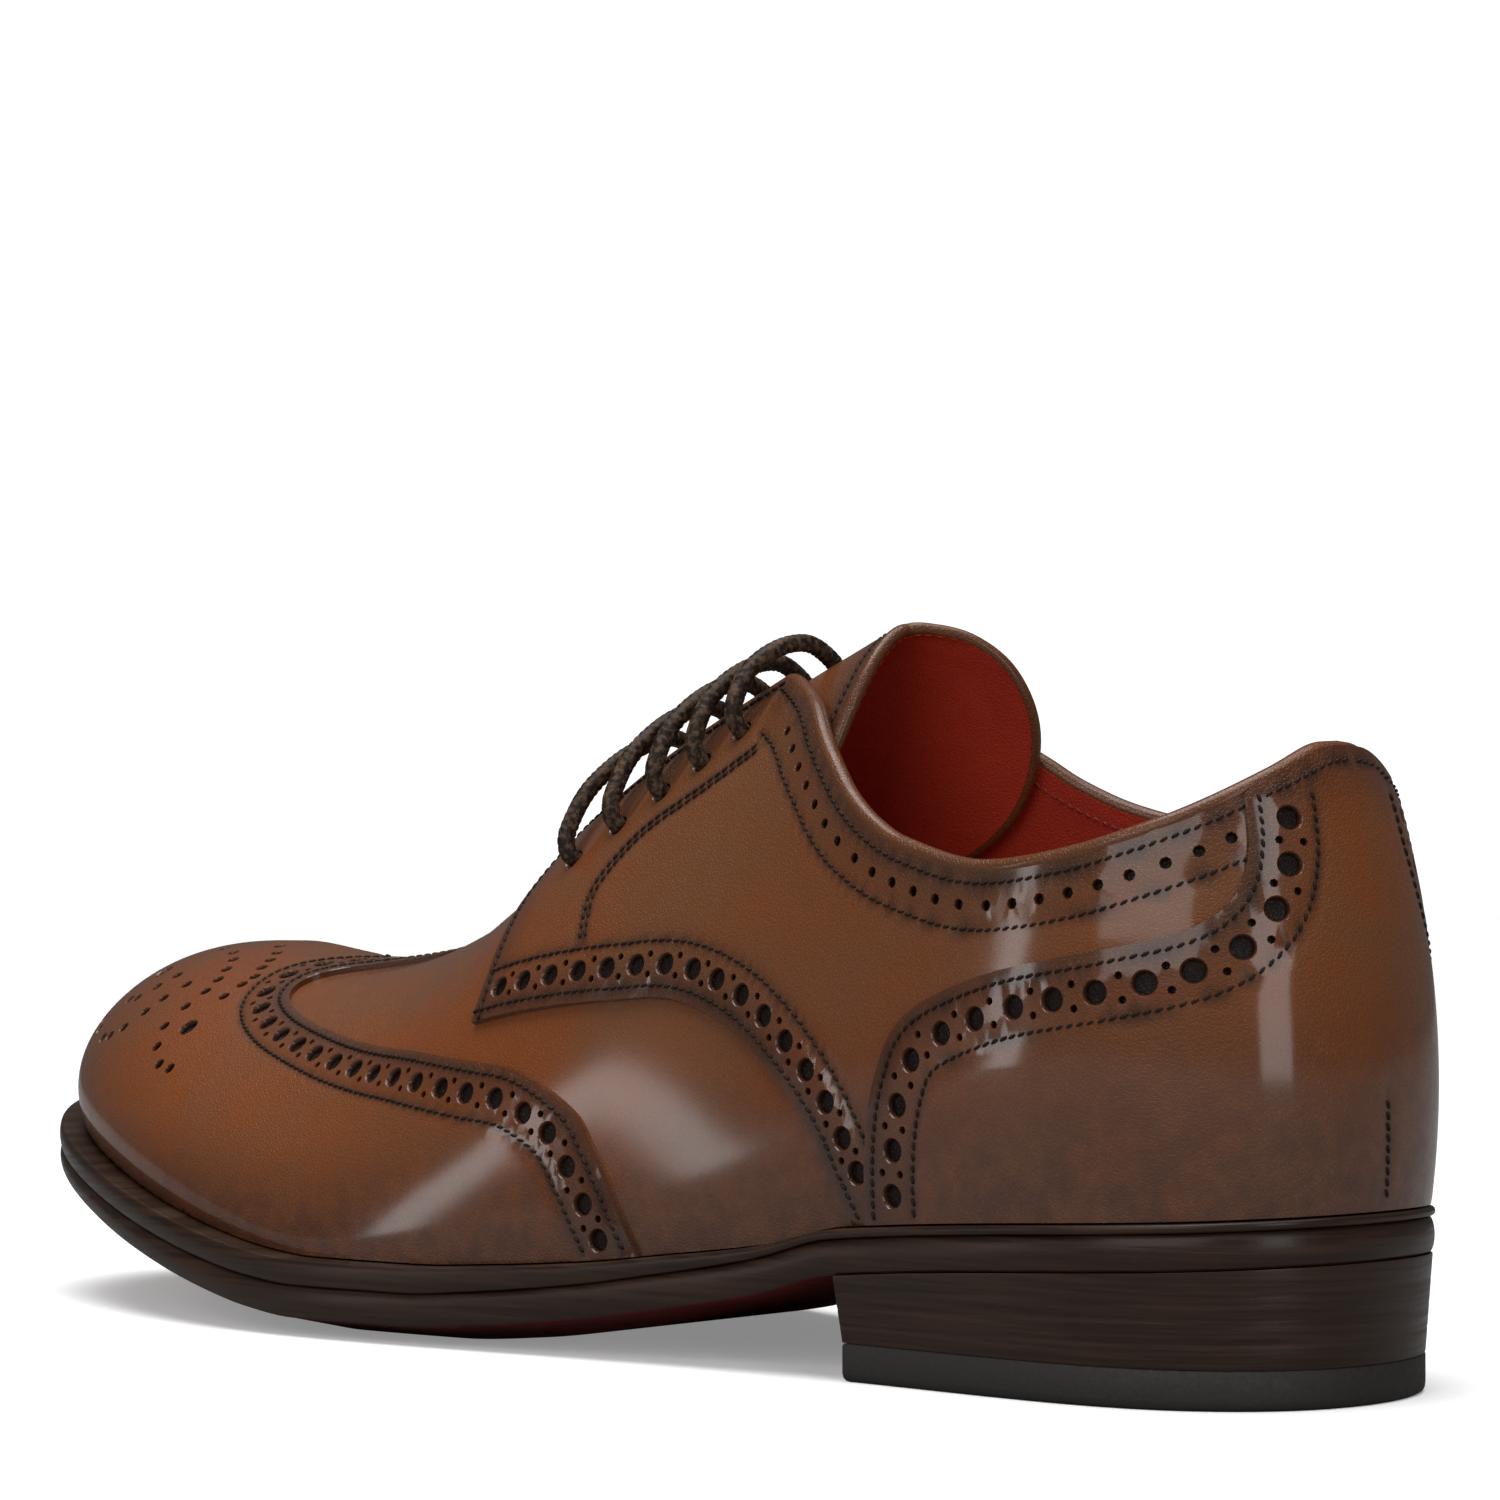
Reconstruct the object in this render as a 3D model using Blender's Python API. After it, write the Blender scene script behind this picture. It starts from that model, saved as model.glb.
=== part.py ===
"""Brogue derby shoe for the left foot, built up on one last.

The shoe stands on z = 0 with its toe along +X and the wearer's left along +Y.
The origin is on the floor under the middle of the heel. Sizes are in metres.
"""
import math

import bmesh
import bpy
import numpy as np
from mathutils import Matrix, Vector

# Driving sizes of the shoe
SHOE_LENGTH = 0.305
BALL_WIDTH = 0.1045
INSTEP_HEIGHT = 0.117
HEEL_LENGTH = 0.080
HEEL_CENTRE = 0.040
HEEL_HEIGHT = 0.0165
HEEL_RISE = 0.0050
TOE_SPRING = 0.0246
SOLE_CROWN = 0.0032
TOE_THIN = 0.42
THIN_START = 0.64

# Thicknesses
UPPER_WALL = 0.0018
OVERLAY_THICK = 0.0011
OUTSOLE_THICK = 0.0055
WELT_THICK = 0.0045
INSOLE_THICK = 0.0030
TOP_LIFT_THICK = 0.0060
TONGUE_THICK = 0.0020

# Edges, holes and cords
WELT_MARGIN = 0.0065
WELT_BED = 0.0080
EDGE_ROUND = 0.0009
TREAD_INSET = 0.0160
HEEL_TAPER = 0.0015
EYELET_DIAMETER = 0.0042
LACE_DIAMETER = 0.0030
SEAM_GAP = 0.0003
TONGUE_GAP = 0.0006

# Fineness of the faceted solids
CHART_COLUMNS = 34
CHART_ROWS = 8
OUTLINE_STEPS = 34
HOLE_SIDES = 8
CHART_GAP = 0.004

# Largest value of s * (1 - s) ** 2, so that a rib's bulge is its real width
HIGHEST_SWELL = 4 / 27

# Rows of the last, from the heel's back (along 0) round to the toe's tip (along 1).
# Columns: along, foot of the rib as shares of the last's length and of the ball width
# (outer, inner), its top as shares of the last's length, ball width and instep height,
# fullness of the rib, bulge and sole margin (outer, inner) as shares of the welt margin.
LAST_ROWS = (
    (0.000, 0.000, 0.000, 0.000, 0.165, 0.000, 1.240, 2.05, 0.34, 0.50, 0.50),
    (0.050, 0.014, 0.153, 0.153, 0.168, 0.000, 1.232, 2.08, 0.34, 0.50, 0.50),
    (0.100, 0.056, 0.262, 0.252, 0.178, 0.000, 1.214, 2.22, 0.32, 0.50, 0.50),
    (0.175, 0.141, 0.312, 0.296, 0.212, 0.000, 1.166, 2.50, 0.24, 0.52, 0.50),
    (0.265, 0.243, 0.312, 0.277, 0.266, 0.000, 1.096, 2.30, 0.20, 0.58, 0.52),
    (0.355, 0.345, 0.326, 0.270, 0.338, 0.000, 1.022, 1.76, 0.18, 0.68, 0.58),
    (0.445, 0.447, 0.360, 0.308, 0.423, -0.003, 0.932, 1.64, 0.20, 0.80, 0.70),
    (0.535, 0.548, 0.405, 0.384, 0.508, -0.008, 0.815, 1.50, 0.24, 0.92, 0.84),
    (0.625, 0.650, 0.434, 0.440, 0.596, -0.018, 0.654, 1.37, 0.30, 1.00, 0.96),
    (0.715, 0.752, 0.417, 0.458, 0.684, -0.032, 0.553, 1.61, 0.36, 1.00, 1.00),
    (0.810, 0.854, 0.342, 0.415, 0.769, -0.050, 0.537, 2.05, 0.38, 1.00, 1.00),
    (0.895, 0.942, 0.214, 0.312, 0.830, -0.066, 0.556, 2.45, 0.38, 1.02, 1.00),
    (0.955, 0.984, 0.070, 0.206, 0.860, -0.074, 0.558, 2.60, 0.38, 1.04, 1.02),
    (1.000, 1.000, -0.072, 0.072, 0.868, -0.076, 0.558, 2.65, 0.38, 1.05, 1.05),
)

# Middle of the outsole's underside in front of the heel: share of the shoe's length,
# share of the heel's height, share of the toe spring.
SOLE_ROWS = (
    (0.315, 0.730, 0.000),
    (0.377, 0.455, 0.000),
    (0.436, 0.218, 0.000),
    (0.492, 0.070, 0.000),
    (0.548, 0.000, 0.000),
    (0.622, 0.000, 0.000),
    (0.662, 0.000, 0.040),
    (0.702, 0.000, 0.118),
    (0.787, 0.000, 0.338),
    (0.859, 0.000, 0.550),
    (0.918, 0.000, 0.735),
    (0.957, 0.000, 0.860),
    (1.003, 0.000, 1.000),
)

# Welt thickness round the sole: along the last, share of the welt's thickness
WELT_ROWS = (
    (0.00, 0.34),
    (0.28, 0.36),
    (0.40, 0.70),
    (0.55, 1.00),
    (1.00, 1.00),
)

# Openings and panels in the last's chart: along the last, share up the rib
COLLAR_EDGE_OUTER = (
    (0.392, 0.860),
    (0.375, 0.800),
    (0.350, 0.700),
    (0.328, 0.592),
    (0.307, 0.503),
    (0.290, 0.442),
    (0.270, 0.392),
    (0.245, 0.352),
    (0.200, 0.312),
    (0.150, 0.308),
    (0.100, 0.328),
    (0.050, 0.362),
    (0.000, 0.378),
)
COLLAR_EDGE_INNER = (
    (0.392, 0.860),
    (0.375, 0.812),
    (0.350, 0.730),
    (0.328, 0.640),
    (0.307, 0.558),
    (0.287, 0.490),
    (0.268, 0.437),
    (0.240, 0.388),
    (0.200, 0.350),
    (0.150, 0.335),
    (0.100, 0.342),
    (0.050, 0.364),
    (0.000, 0.378),
)
FACING_EDGE = (
    (0.590, 1.000),
    (0.586, 0.930),
    (0.568, 0.868),
    (0.530, 0.830),
    (0.490, 0.822),
    (0.440, 0.840),
    (0.392, 0.860),
)
WING_EDGE = (
    (0.405, 0.000),
    (0.424, 0.080),
    (0.437, 0.130),
    (0.453, 0.180),
    (0.492, 0.248),
    (0.530, 0.292),
    (0.565, 0.342),
    (0.625, 0.448),
    (0.685, 0.540),
    (0.735, 0.610),
    (0.765, 0.670),
    (0.779, 0.740),
    (0.779, 0.810),
    (0.768, 0.870),
    (0.745, 0.935),
    (0.706, 1.000),
)
QUARTER_SIDE = (
    (0.273, 0.000),
    (0.285, 0.045),
    (0.300, 0.105),
    (0.324, 0.170),
    (0.358, 0.240),
    (0.400, 0.296),
    (0.445, 0.320),
    (0.495, 0.345),
    (0.541, 0.372),
)
QUARTER_FRONT = (
    (0.541, 0.372),
    (0.545, 0.450),
    (0.551, 0.530),
    (0.558, 0.620),
    (0.563, 0.700),
    (0.560, 0.780),
    (0.545, 0.838),
)
COUNTER_EDGE = (
    (0.262, 0.000),
    (0.261, 0.070),
    (0.254, 0.140),
    (0.236, 0.190),
    (0.190, 0.214),
    (0.130, 0.224),
    (0.092, 0.237),
    (0.073, 0.262),
    (0.065, 0.302),
    (0.064, 0.353),
)
TONGUE_EDGE = (
    (0.645, 1.000),
    (0.641, 0.860),
    (0.620, 0.720),
    (0.565, 0.620),
    (0.490, 0.580),
    (0.420, 0.570),
    (0.380, 0.545),
    (0.352, 0.530),
    (0.336, 0.570),
    (0.331, 0.680),
    (0.330, 0.840),
    (0.330, 1.000),
)
EYELETS = (
    (0.515, 0.660),
    (0.483, 0.668),
    (0.455, 0.690),
    (0.430, 0.715),
    (0.406, 0.745),
)


# Lace bar: share of the way from the eyelet up to the ridge, lift over its seat
LACE_ROWS = (
    (0.00, 0.50),
    (0.02, 1.02),
    (0.12, 1.55),
    (0.38, 1.85),
    (0.70, 1.60),
    (1.00, 1.35),
)


class Spline:
    """Smooth curve through rows of values at rising knots, closed or open."""

    def __init__(self, knots, values, period=None):
        self.knots = np.array(knots, float)
        self.values = np.array(values, float)
        self.period = period
        if period:
            self.knots = np.append(self.knots, self.knots[0] + period)
            self.values = np.vstack([self.values, self.values[:1]])
        self.bends = self.solve_bends()

    def solve_bends(self):
        count = len(self.knots)
        gap = np.diff(self.knots)
        slope = np.diff(self.values, axis=0) / gap[:, None]
        matrix = np.eye(count)
        right = np.zeros_like(self.values)
        for i in range(1, count - 1):
            matrix[i, i - 1:i + 2] = gap[i - 1], 2 * (gap[i - 1] + gap[i]), gap[i]
            right[i] = 6 * (slope[i] - slope[i - 1])
        if self.period:
            matrix[0, :2] = 2 * gap[0], gap[0]
            matrix[0, -2:] = gap[-1], 2 * gap[-1]
            right[0] = 6 * (slope[0] - slope[-1])
            matrix[-1, 0] = -1
        return np.linalg.solve(matrix, right)

    def __call__(self, place):
        if self.period:
            place = self.knots[0] + (place - self.knots[0]) % self.period
        i = int(np.clip(np.searchsorted(self.knots, place) - 1, 0, len(self.knots) - 2))
        gap = self.knots[i + 1] - self.knots[i]
        after = (place - self.knots[i]) / gap
        before = 1 - after
        curve = (before ** 3 - before) * self.bends[i] + (after ** 3 - after) * self.bends[i + 1]
        return before * self.values[i] + after * self.values[i + 1] + curve * gap ** 2 / 6


def last_spline():
    """Ribs of the last, round both sides: outer 0 to 1, inner 1 to 2."""
    knots = []
    rows = []
    for row in LAST_ROWS:
        along, length, outer, _, *top, fullness, bulge, margin, _ = row
        knots.append(along)
        rows.append((length, outer, *top, fullness, bulge, margin))
    for row in LAST_ROWS[-2:0:-1]:
        along, length, _, inner, *top, fullness, bulge, _, margin = row
        knots.append(2 - along)
        rows.append((length, -inner, *top, fullness, bulge, margin))
    return Spline(knots, rows, period=2.0)


def sole_spline():
    """Height of the outsole's underside, from the back of the heel to the toe."""
    rows = [(0.0, HEEL_HEIGHT + HEEL_RISE), (HEEL_LENGTH, HEEL_HEIGHT)]
    for length, heel, toe in SOLE_ROWS:
        rows.append((length * SHOE_LENGTH, heel * HEEL_HEIGHT + toe * TOE_SPRING))
    return np.array(rows)


LAST = last_spline()
SOLE = sole_spline()
HEEL_MARGIN = WELT_MARGIN * LAST_ROWS[0][-1]
TOE_MARGIN = WELT_MARGIN * LAST_ROWS[-1][-1]
LAST_LENGTH = SHOE_LENGTH - HEEL_MARGIN - TOE_MARGIN
WELT = np.array(WELT_ROWS)


def monotone(table, place):
    """Height read from a table by cubics that never overshoot its rows."""
    x = table[:, 0]
    y = table[:, 1]
    slope = np.diff(y) / np.diff(x)
    turn = np.zeros_like(y)
    product = slope[1:] * slope[:-1]
    inner = np.where(product > 0, 2 * product / (slope[1:] + slope[:-1] + 1e-12), 0)
    turn[1:-1] = inner
    turn[0] = slope[0]
    turn[-1] = slope[-1]
    i = int(np.clip(np.searchsorted(x, place) - 1, 0, len(x) - 2))
    gap = x[i + 1] - x[i]
    s = (place - x[i]) / gap
    start = (1 + 2 * s) * (1 - s) ** 2 * y[i] + s * (1 - s) ** 2 * gap * turn[i]
    end = s * s * (3 - 2 * s) * y[i + 1] + s * s * (s - 1) * gap * turn[i + 1]
    return start + end


def tread_height(x):
    """Middle of the outsole's underside."""
    return monotone(SOLE, x)


def sole_height(x):
    """Lower edge of the outsole, above its middle in front of the heel."""
    ahead = (x - HEEL_LENGTH) / (SHOE_LENGTH / 2 - HEEL_LENGTH)
    ramp = min(max(ahead, 0.0), 1.0)
    return tread_height(x) + SOLE_CROWN * ramp * ramp * (3 - 2 * ramp)


def toe_thinning(x):
    """How much thinner the outsole gets towards the tip of the toe."""
    ahead = (x / SHOE_LENGTH - THIN_START) / (1 - THIN_START)
    return OUTSOLE_THICK * TOE_THIN * max(ahead, 0.0)


def welt_thickness(round_last):
    """Thickness of the welt at a place round the last."""
    along = min(round_last % 2, 2 - round_last % 2)
    return WELT_THICK * monotone(WELT, along)


def rib(round_last):
    """Foot and top of one rib, with its fullness, bulge and sole margin."""
    length, side, top_length, top_side, top_height, fullness, bulge, margin = LAST(round_last)
    x = HEEL_MARGIN + length * LAST_LENGTH
    foot = np.array((x, side * BALL_WIDTH))
    top = np.array((HEEL_MARGIN + top_length * LAST_LENGTH, top_side * BALL_WIDTH))
    height = top_height * INSTEP_HEIGHT
    return foot, top, height, fullness, bulge * WELT_MARGIN, margin * WELT_MARGIN


def foot_line(round_last, extra=0.0, with_margin=False):
    """Point of the feather line or, with the margin, of the sole's outline."""
    step = 0.002
    foot, _, _, _, _, margin = rib(round_last)
    ahead = rib(round_last + step)[0] - rib(round_last - step)[0]
    outward = np.array((-ahead[1], ahead[0])) / np.linalg.norm(ahead)
    reach = extra + (margin if with_margin else 0.0)
    return foot + outward * reach, outward


def feather_height(x, round_last):
    """Height at which the upper's edge stands, just above the welt."""
    return sole_height(x) + OUTSOLE_THICK + welt_thickness(round_last) + SEAM_GAP


def skin(round_last, up):
    """Point of the last's surface at a place round it and a share up the rib."""
    foot, top, height, fullness, bulge, _ = rib(round_last)
    _, outward = foot_line(round_last)
    base = feather_height(foot[0], round_last)
    angle = up * math.pi / 2
    across = abs(math.cos(angle))
    rise = math.sin(angle)
    size = (across ** fullness + rise ** fullness) ** (1 / fullness)
    across = across / size
    rise = rise / size
    plan = foot * across + top * (1 - across)
    swell = rise * (1 - rise) ** 2 / HIGHEST_SWELL
    plan = plan + outward * bulge * swell
    return np.array((plan[0], plan[1], base + (height - base) * rise))


def side_normal(round_last, up):
    """Outward direction of the last's surface on one side of its ridge."""
    step = 0.003
    low = max(up - step, 0.0)
    around = skin(round_last + step, up) - skin(round_last - step, up)
    rising = skin(round_last, up + step) - skin(round_last, low)
    normal = np.cross(rising, around)
    return normal / np.linalg.norm(normal)


def skin_normal(round_last, up):
    """Outward direction of the last's surface, evened out along its ridge."""
    near_ridge = 0.97
    if up <= near_ridge:
        return side_normal(round_last, up)
    share = 0.5 * (up - near_ridge) / (1 - near_ridge)
    this_side = side_normal(round_last, near_ridge)
    far_side = side_normal(2 - round_last, near_ridge)
    mixed = this_side * (1 - share) + far_side * share
    return mixed / np.linalg.norm(mixed)


def offset_skin(round_last, up, offset):
    """Point of the surface moved outward by an offset, and never into the welt."""
    point = skin(round_last, up) + skin_normal(round_last, up) * offset
    point[2] = max(point[2], feather_height(point[0], round_last))
    return point


def smooth_line(points, steps=3):
    """Curve through chart points by Catmull-Rom spans."""
    points = [np.array(p, float) for p in points]
    ends = [2 * points[0] - points[1]] + points + [2 * points[-1] - points[-2]]
    line = []
    for a, b, c, d in zip(ends, ends[1:], ends[2:], ends[3:]):
        for k in range(steps):
            s = k / steps
            line.append(0.5 * (2 * b + (c - a) * s + (2 * a - 5 * b + 4 * c - d) * s * s
                               + (3 * b - a - 3 * c + d) * s ** 3))
    line.append(points[-1])
    return [tuple(p) for p in line]


def chart_half(mesh, layers, outline, inner_side):
    """Cut one half's outline along the chart's grid and note each vertex's place."""
    part = bmesh.new()
    part.faces.new([part.verts.new((a, t, 0)) for a, t in outline])
    bmesh.ops.remove_doubles(part, verts=part.verts, dist=1e-5)
    for lines, normal in ((CHART_COLUMNS, (1, 0, 0)), (CHART_ROWS, (0, 1, 0))):
        for k in range(1, lines):
            spot = Vector(normal) * (k / lines)
            everything = part.verts[:] + part.edges[:] + part.faces[:]
            bmesh.ops.bisect_plane(part, geom=everything, dist=1e-4, plane_co=spot, plane_no=normal)
    large = [face for face in part.faces if len(face.verts) > 4]
    bmesh.ops.triangulate(part, faces=large)
    copies = {}
    for vert in part.verts:
        round_last = 2 - vert.co.x if inner_side else vert.co.x
        copy = mesh.verts.new(skin(round_last, vert.co.y))
        copy[layers[0]] = round_last
        copy[layers[1]] = vert.co.y
        copies[vert] = copy
    for face in part.faces:
        loop = [copies[v] for v in face.verts]
        upward = face.normal.z > 0
        mesh.faces.new(loop if inner_side == upward else loop[::-1])
    part.free()


def shell(outer_outline, inner_outline, low, high):
    """Closed panel between two offsets of the last's surface."""
    sheet = bmesh.new()
    layers = (sheet.verts.layers.float.new("round"), sheet.verts.layers.float.new("up"))
    if outer_outline:
        chart_half(sheet, layers, outer_outline, False)
    if inner_outline:
        chart_half(sheet, layers, inner_outline, True)
    bmesh.ops.remove_doubles(sheet, verts=sheet.verts, dist=2e-5)
    sheet.verts.index_update()
    solid = bmesh.new()
    sides = []
    for offset in (high, low):
        points = [offset_skin(v[layers[0]], v[layers[1]], offset) for v in sheet.verts]
        sides.append([solid.verts.new(p) for p in points])
    outside, inside = sides
    for face in sheet.faces:
        loop = [v.index for v in face.verts]
        solid.faces.new([outside[i] for i in loop])
        solid.faces.new([inside[i] for i in reversed(loop)])
    for edge in sheet.edges:
        if edge.is_boundary:
            loop = edge.link_loops[0]
            start = loop.vert.index
            end = loop.link_loop_next.vert.index
            solid.faces.new((outside[end], outside[start], inside[start], inside[end]))
    sheet.free()
    return solid


def slab(rings):
    """Closed solid from stacked closed outlines, from the bottom one up."""
    solid = bmesh.new()
    loops = [[solid.verts.new(p) for p in ring] for ring in rings]
    count = len(loops[0])
    for lower, upper in zip(loops, loops[1:]):
        for i in range(count):
            j = (i + 1) % count
            solid.faces.new((lower[j], lower[i], upper[i], upper[j]))
    for loop, upward in ((loops[0], False), (loops[-1], True)):
        half = count // 2
        for i in range(half):
            a, b = loop[i], loop[i + 1]
            c, d = loop[-i - 1], loop[-i] if i else loop[0]
            corners = list(dict.fromkeys((a, b, c, d)))
            if len(corners) > 2:
                solid.faces.new(corners[::-1] if upward else corners)
    return solid


def new_material(name, colour, roughness, metallic=0.0):
    material = bpy.data.materials.new(name)
    material.use_nodes = True
    shader = material.node_tree.nodes["Principled BSDF"]
    shader.inputs["Base Color"].default_value = (*colour, 1.0)
    shader.inputs["Roughness"].default_value = roughness
    shader.inputs["Metallic"].default_value = metallic
    return material


def add_part(name, solid, material):
    """Turn a finished solid into a named object with its origin under the heel."""
    bmesh.ops.translate(solid, verts=solid.verts, vec=(-HEEL_CENTRE, 0, 0))
    bmesh.ops.recalc_face_normals(solid, faces=solid.faces)
    mesh = bpy.data.meshes.new(name)
    solid.to_mesh(mesh)
    solid.free()
    mesh.shade_smooth()
    mesh.set_sharp_from_angle(angle=math.radians(35))
    if material:
        mesh.materials.append(material)
    part = bpy.data.objects.new(name, mesh)
    bpy.context.scene.collection.objects.link(part)
    return part


def heel_breast_place(side):
    """Place round the last where the sole's outline reaches the heel's breast."""
    low, high = (0.0, 0.5) if side > 0 else (1.5, 2.0)
    for _ in range(40):
        middle = (low + high) / 2
        short = foot_line(middle, 0.0, True)[0][0] < HEEL_LENGTH
        if short == (side > 0):
            low = middle
        else:
            high = middle
    return (low + high) / 2


def sole_ring(extra, height, with_margin=True):
    """Outline round the whole sole at an inset, with its height from a function."""
    ring = []
    for k in range(2 * OUTLINE_STEPS):
        round_last = k / OUTLINE_STEPS
        plan, _ = foot_line(round_last, extra, with_margin)
        ring.append((plan[0], plan[1], height(plan[0], round_last)))
    return ring


def sole_top(x, round_last):
    return sole_height(x) + OUTSOLE_THICK


def welt_bottom(x, round_last):
    return sole_top(x, round_last) + SEAM_GAP


def welt_top(x, round_last):
    return sole_top(x, round_last) + welt_thickness(round_last)


def build_outsole(material):
    bottom = lambda x, r: sole_height(x) + toe_thinning(x)
    raised = lambda x, r: welt_top(x, r)
    rings = [
        sole_ring(-TREAD_INSET, lambda x, r: tread_height(x) + toe_thinning(x)),
        sole_ring(-EDGE_ROUND, bottom),
        sole_ring(0.0, lambda x, r: bottom(x, r) + EDGE_ROUND),
        sole_ring(0.0, lambda x, r: sole_top(x, r) - EDGE_ROUND / 2),
        sole_ring(-EDGE_ROUND / 2, sole_top),
        sole_ring(-WELT_BED - SEAM_GAP, sole_top, with_margin=False),
        sole_ring(-WELT_BED - SEAM_GAP, raised, with_margin=False),
    ]
    return add_part("outsole", slab(rings), material)


def build_welt(material):
    rings = [
        sole_ring(-WELT_BED, welt_bottom, with_margin=False),
        sole_ring(-EDGE_ROUND / 2, welt_bottom),
        sole_ring(0.0, lambda x, r: welt_bottom(x, r) + EDGE_ROUND / 2),
        sole_ring(0.0, lambda x, r: welt_top(x, r) - EDGE_ROUND / 2),
        sole_ring(-EDGE_ROUND / 2, welt_top),
        sole_ring(-WELT_BED, welt_top, with_margin=False),
    ]
    solid = bmesh.new()
    loops = [[solid.verts.new(p) for p in ring] for ring in rings]
    count = len(loops[0])
    for lower, upper in zip(loops, loops[1:] + loops[:1]):
        for i in range(count):
            j = (i + 1) % count
            solid.faces.new((lower[j], lower[i], upper[i], upper[j]))
    return add_part("welt", solid, material)


def heel_ring(inset, height, steps=20, breast_steps=6):
    """Outline of the heel, round its back and across a hollowed breast."""
    outer = heel_breast_place(1)
    inner = heel_breast_place(-1) - 2
    ring = []
    for k in range(2 * steps + 1):
        plan, _ = foot_line(outer + (inner - outer) * k / (2 * steps) + 2, -inset, True)
        ring.append(np.array((min(plan[0], HEEL_LENGTH - inset), plan[1])))
    first, last = ring[0], ring[-1]
    for k in range(1, breast_steps):
        s = k / breast_steps
        point = last * (1 - s) + first * s
        hollow = HEEL_TAPER * 2 * math.sin(math.pi * s)
        ring.append(np.array((point[0] - hollow, point[1])))
    return [(p[0], p[1], height(p[0])) for p in ring]


def stack_prism(rings):
    """Closed solid with one flat face at each end."""
    solid = bmesh.new()
    loops = [[solid.verts.new(p) for p in ring] for ring in rings]
    count = len(loops[0])
    for lower, upper in zip(loops, loops[1:]):
        for i in range(count):
            j = (i + 1) % count
            solid.faces.new((lower[i], lower[j], upper[j], upper[i]))
    solid.faces.new(loops[0][::-1])
    solid.faces.new(loops[-1])
    return solid


def build_heel(leather, rubber):
    seat = lambda x: sole_height(x) - SEAM_GAP
    lift_top = lambda x: TOP_LIFT_THICK
    rings = [
        heel_ring(HEEL_TAPER, lambda x: TOP_LIFT_THICK + SEAM_GAP),
        heel_ring(EDGE_ROUND / 2, seat),
    ]
    add_part("heel_stack", stack_prism(rings), leather)
    rings = [
        heel_ring(HEEL_TAPER + EDGE_ROUND / 2, lambda x: 0.0),
        heel_ring(HEEL_TAPER, lambda x: EDGE_ROUND / 2),
        heel_ring(HEEL_TAPER, lift_top),
    ]
    add_part("top_lift", stack_prism(rings), rubber)


def build_insole(material):
    inset = UPPER_WALL + SEAM_GAP * 2
    low = lambda x, r: welt_top(x, r) + SEAM_GAP
    high = lambda x, r: low(x, r) + INSOLE_THICK
    rings = [
        sole_ring(-inset, low, with_margin=False),
        sole_ring(-inset, high, with_margin=False),
    ]
    return add_part("insole", slab(rings), material)


def upper_outline(collar):
    """Half of the upper in the chart, with the throat and the collar left open."""
    throat = FACING_EDGE[0][0]
    edge = smooth_line(FACING_EDGE) + smooth_line(collar)[1:]
    return [(0.0, 0.0), (1.0, 0.0), (1.0, 1.0), (throat, 1.0)] + edge[1:]


def eyelet_cutter():
    """Round cutters across both facings, one for each eyelet."""
    solid = bmesh.new()
    for along, up in EYELETS:
        for round_last in (along, 2 - along):
            centre = skin(round_last, up)
            normal = Vector(skin_normal(round_last, up))
            turn = normal.to_track_quat("Z", "Y").to_matrix().to_4x4()
            bmesh.ops.create_cone(
                solid, cap_ends=True, segments=HOLE_SIDES, radius1=EYELET_DIAMETER / 2,
                radius2=EYELET_DIAMETER / 2, depth=6 * (UPPER_WALL + OVERLAY_THICK),
                matrix=Matrix.Translation(Vector(centre)) @ turn)
    cutter = add_part("eyelet_cutter", solid, None)
    cutter.hide_render = True
    cutter.display_type = "WIRE"
    return cutter


def cut_eyelets(part, cutter):
    cut = part.modifiers.new("eyelets", "BOOLEAN")
    cut.operation = "DIFFERENCE"
    cut.object = cutter


def build_upper(material):
    outer = upper_outline(COLLAR_EDGE_OUTER)
    inner = upper_outline(COLLAR_EDGE_INNER)
    return add_part("upper", shell(outer, inner, -UPPER_WALL, 0.0), material)


def quarter_outline(collar):
    """Half of the quarters, from the sole round the facing and the collar to the back."""
    front = smooth_line(QUARTER_SIDE) + smooth_line(QUARTER_FRONT)[1:]
    facing = [p for p in smooth_line(FACING_EDGE) if p[0] < QUARTER_FRONT[-1][0] - CHART_GAP]
    return [(0.0, 0.0)] + front + facing + smooth_line(collar)[1:]


def build_quarters(material):
    low = SEAM_GAP
    outer = quarter_outline(COLLAR_EDGE_OUTER)
    inner = quarter_outline(COLLAR_EDGE_INNER)
    return add_part("quarters", shell(outer, inner, low, low + OVERLAY_THICK), material)


def build_wing_cap(material):
    low = SEAM_GAP
    outline = [(1.0, 0.0), (1.0, 1.0)] + smooth_line(WING_EDGE)[::-1]
    return add_part("wing_cap", shell(outline, outline, low, low + OVERLAY_THICK), material)


def build_heel_counter(material):
    low = 2 * SEAM_GAP + OVERLAY_THICK
    outlines = []
    for collar in (COLLAR_EDGE_OUTER, COLLAR_EDGE_INNER):
        back = [p for p in smooth_line(collar) if p[0] < COUNTER_EDGE[-1][0] - CHART_GAP]
        outlines.append([(0.0, 0.0)] + smooth_line(COUNTER_EDGE) + back)
    solid = shell(*outlines, low, low + OVERLAY_THICK)
    return add_part("heel_counter", solid, material)


def build_tongue(material):
    high = -UPPER_WALL - TONGUE_GAP
    outline = smooth_line(TONGUE_EDGE)
    return add_part("tongue", shell(outline, outline, high - TONGUE_THICK, high), material)


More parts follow.
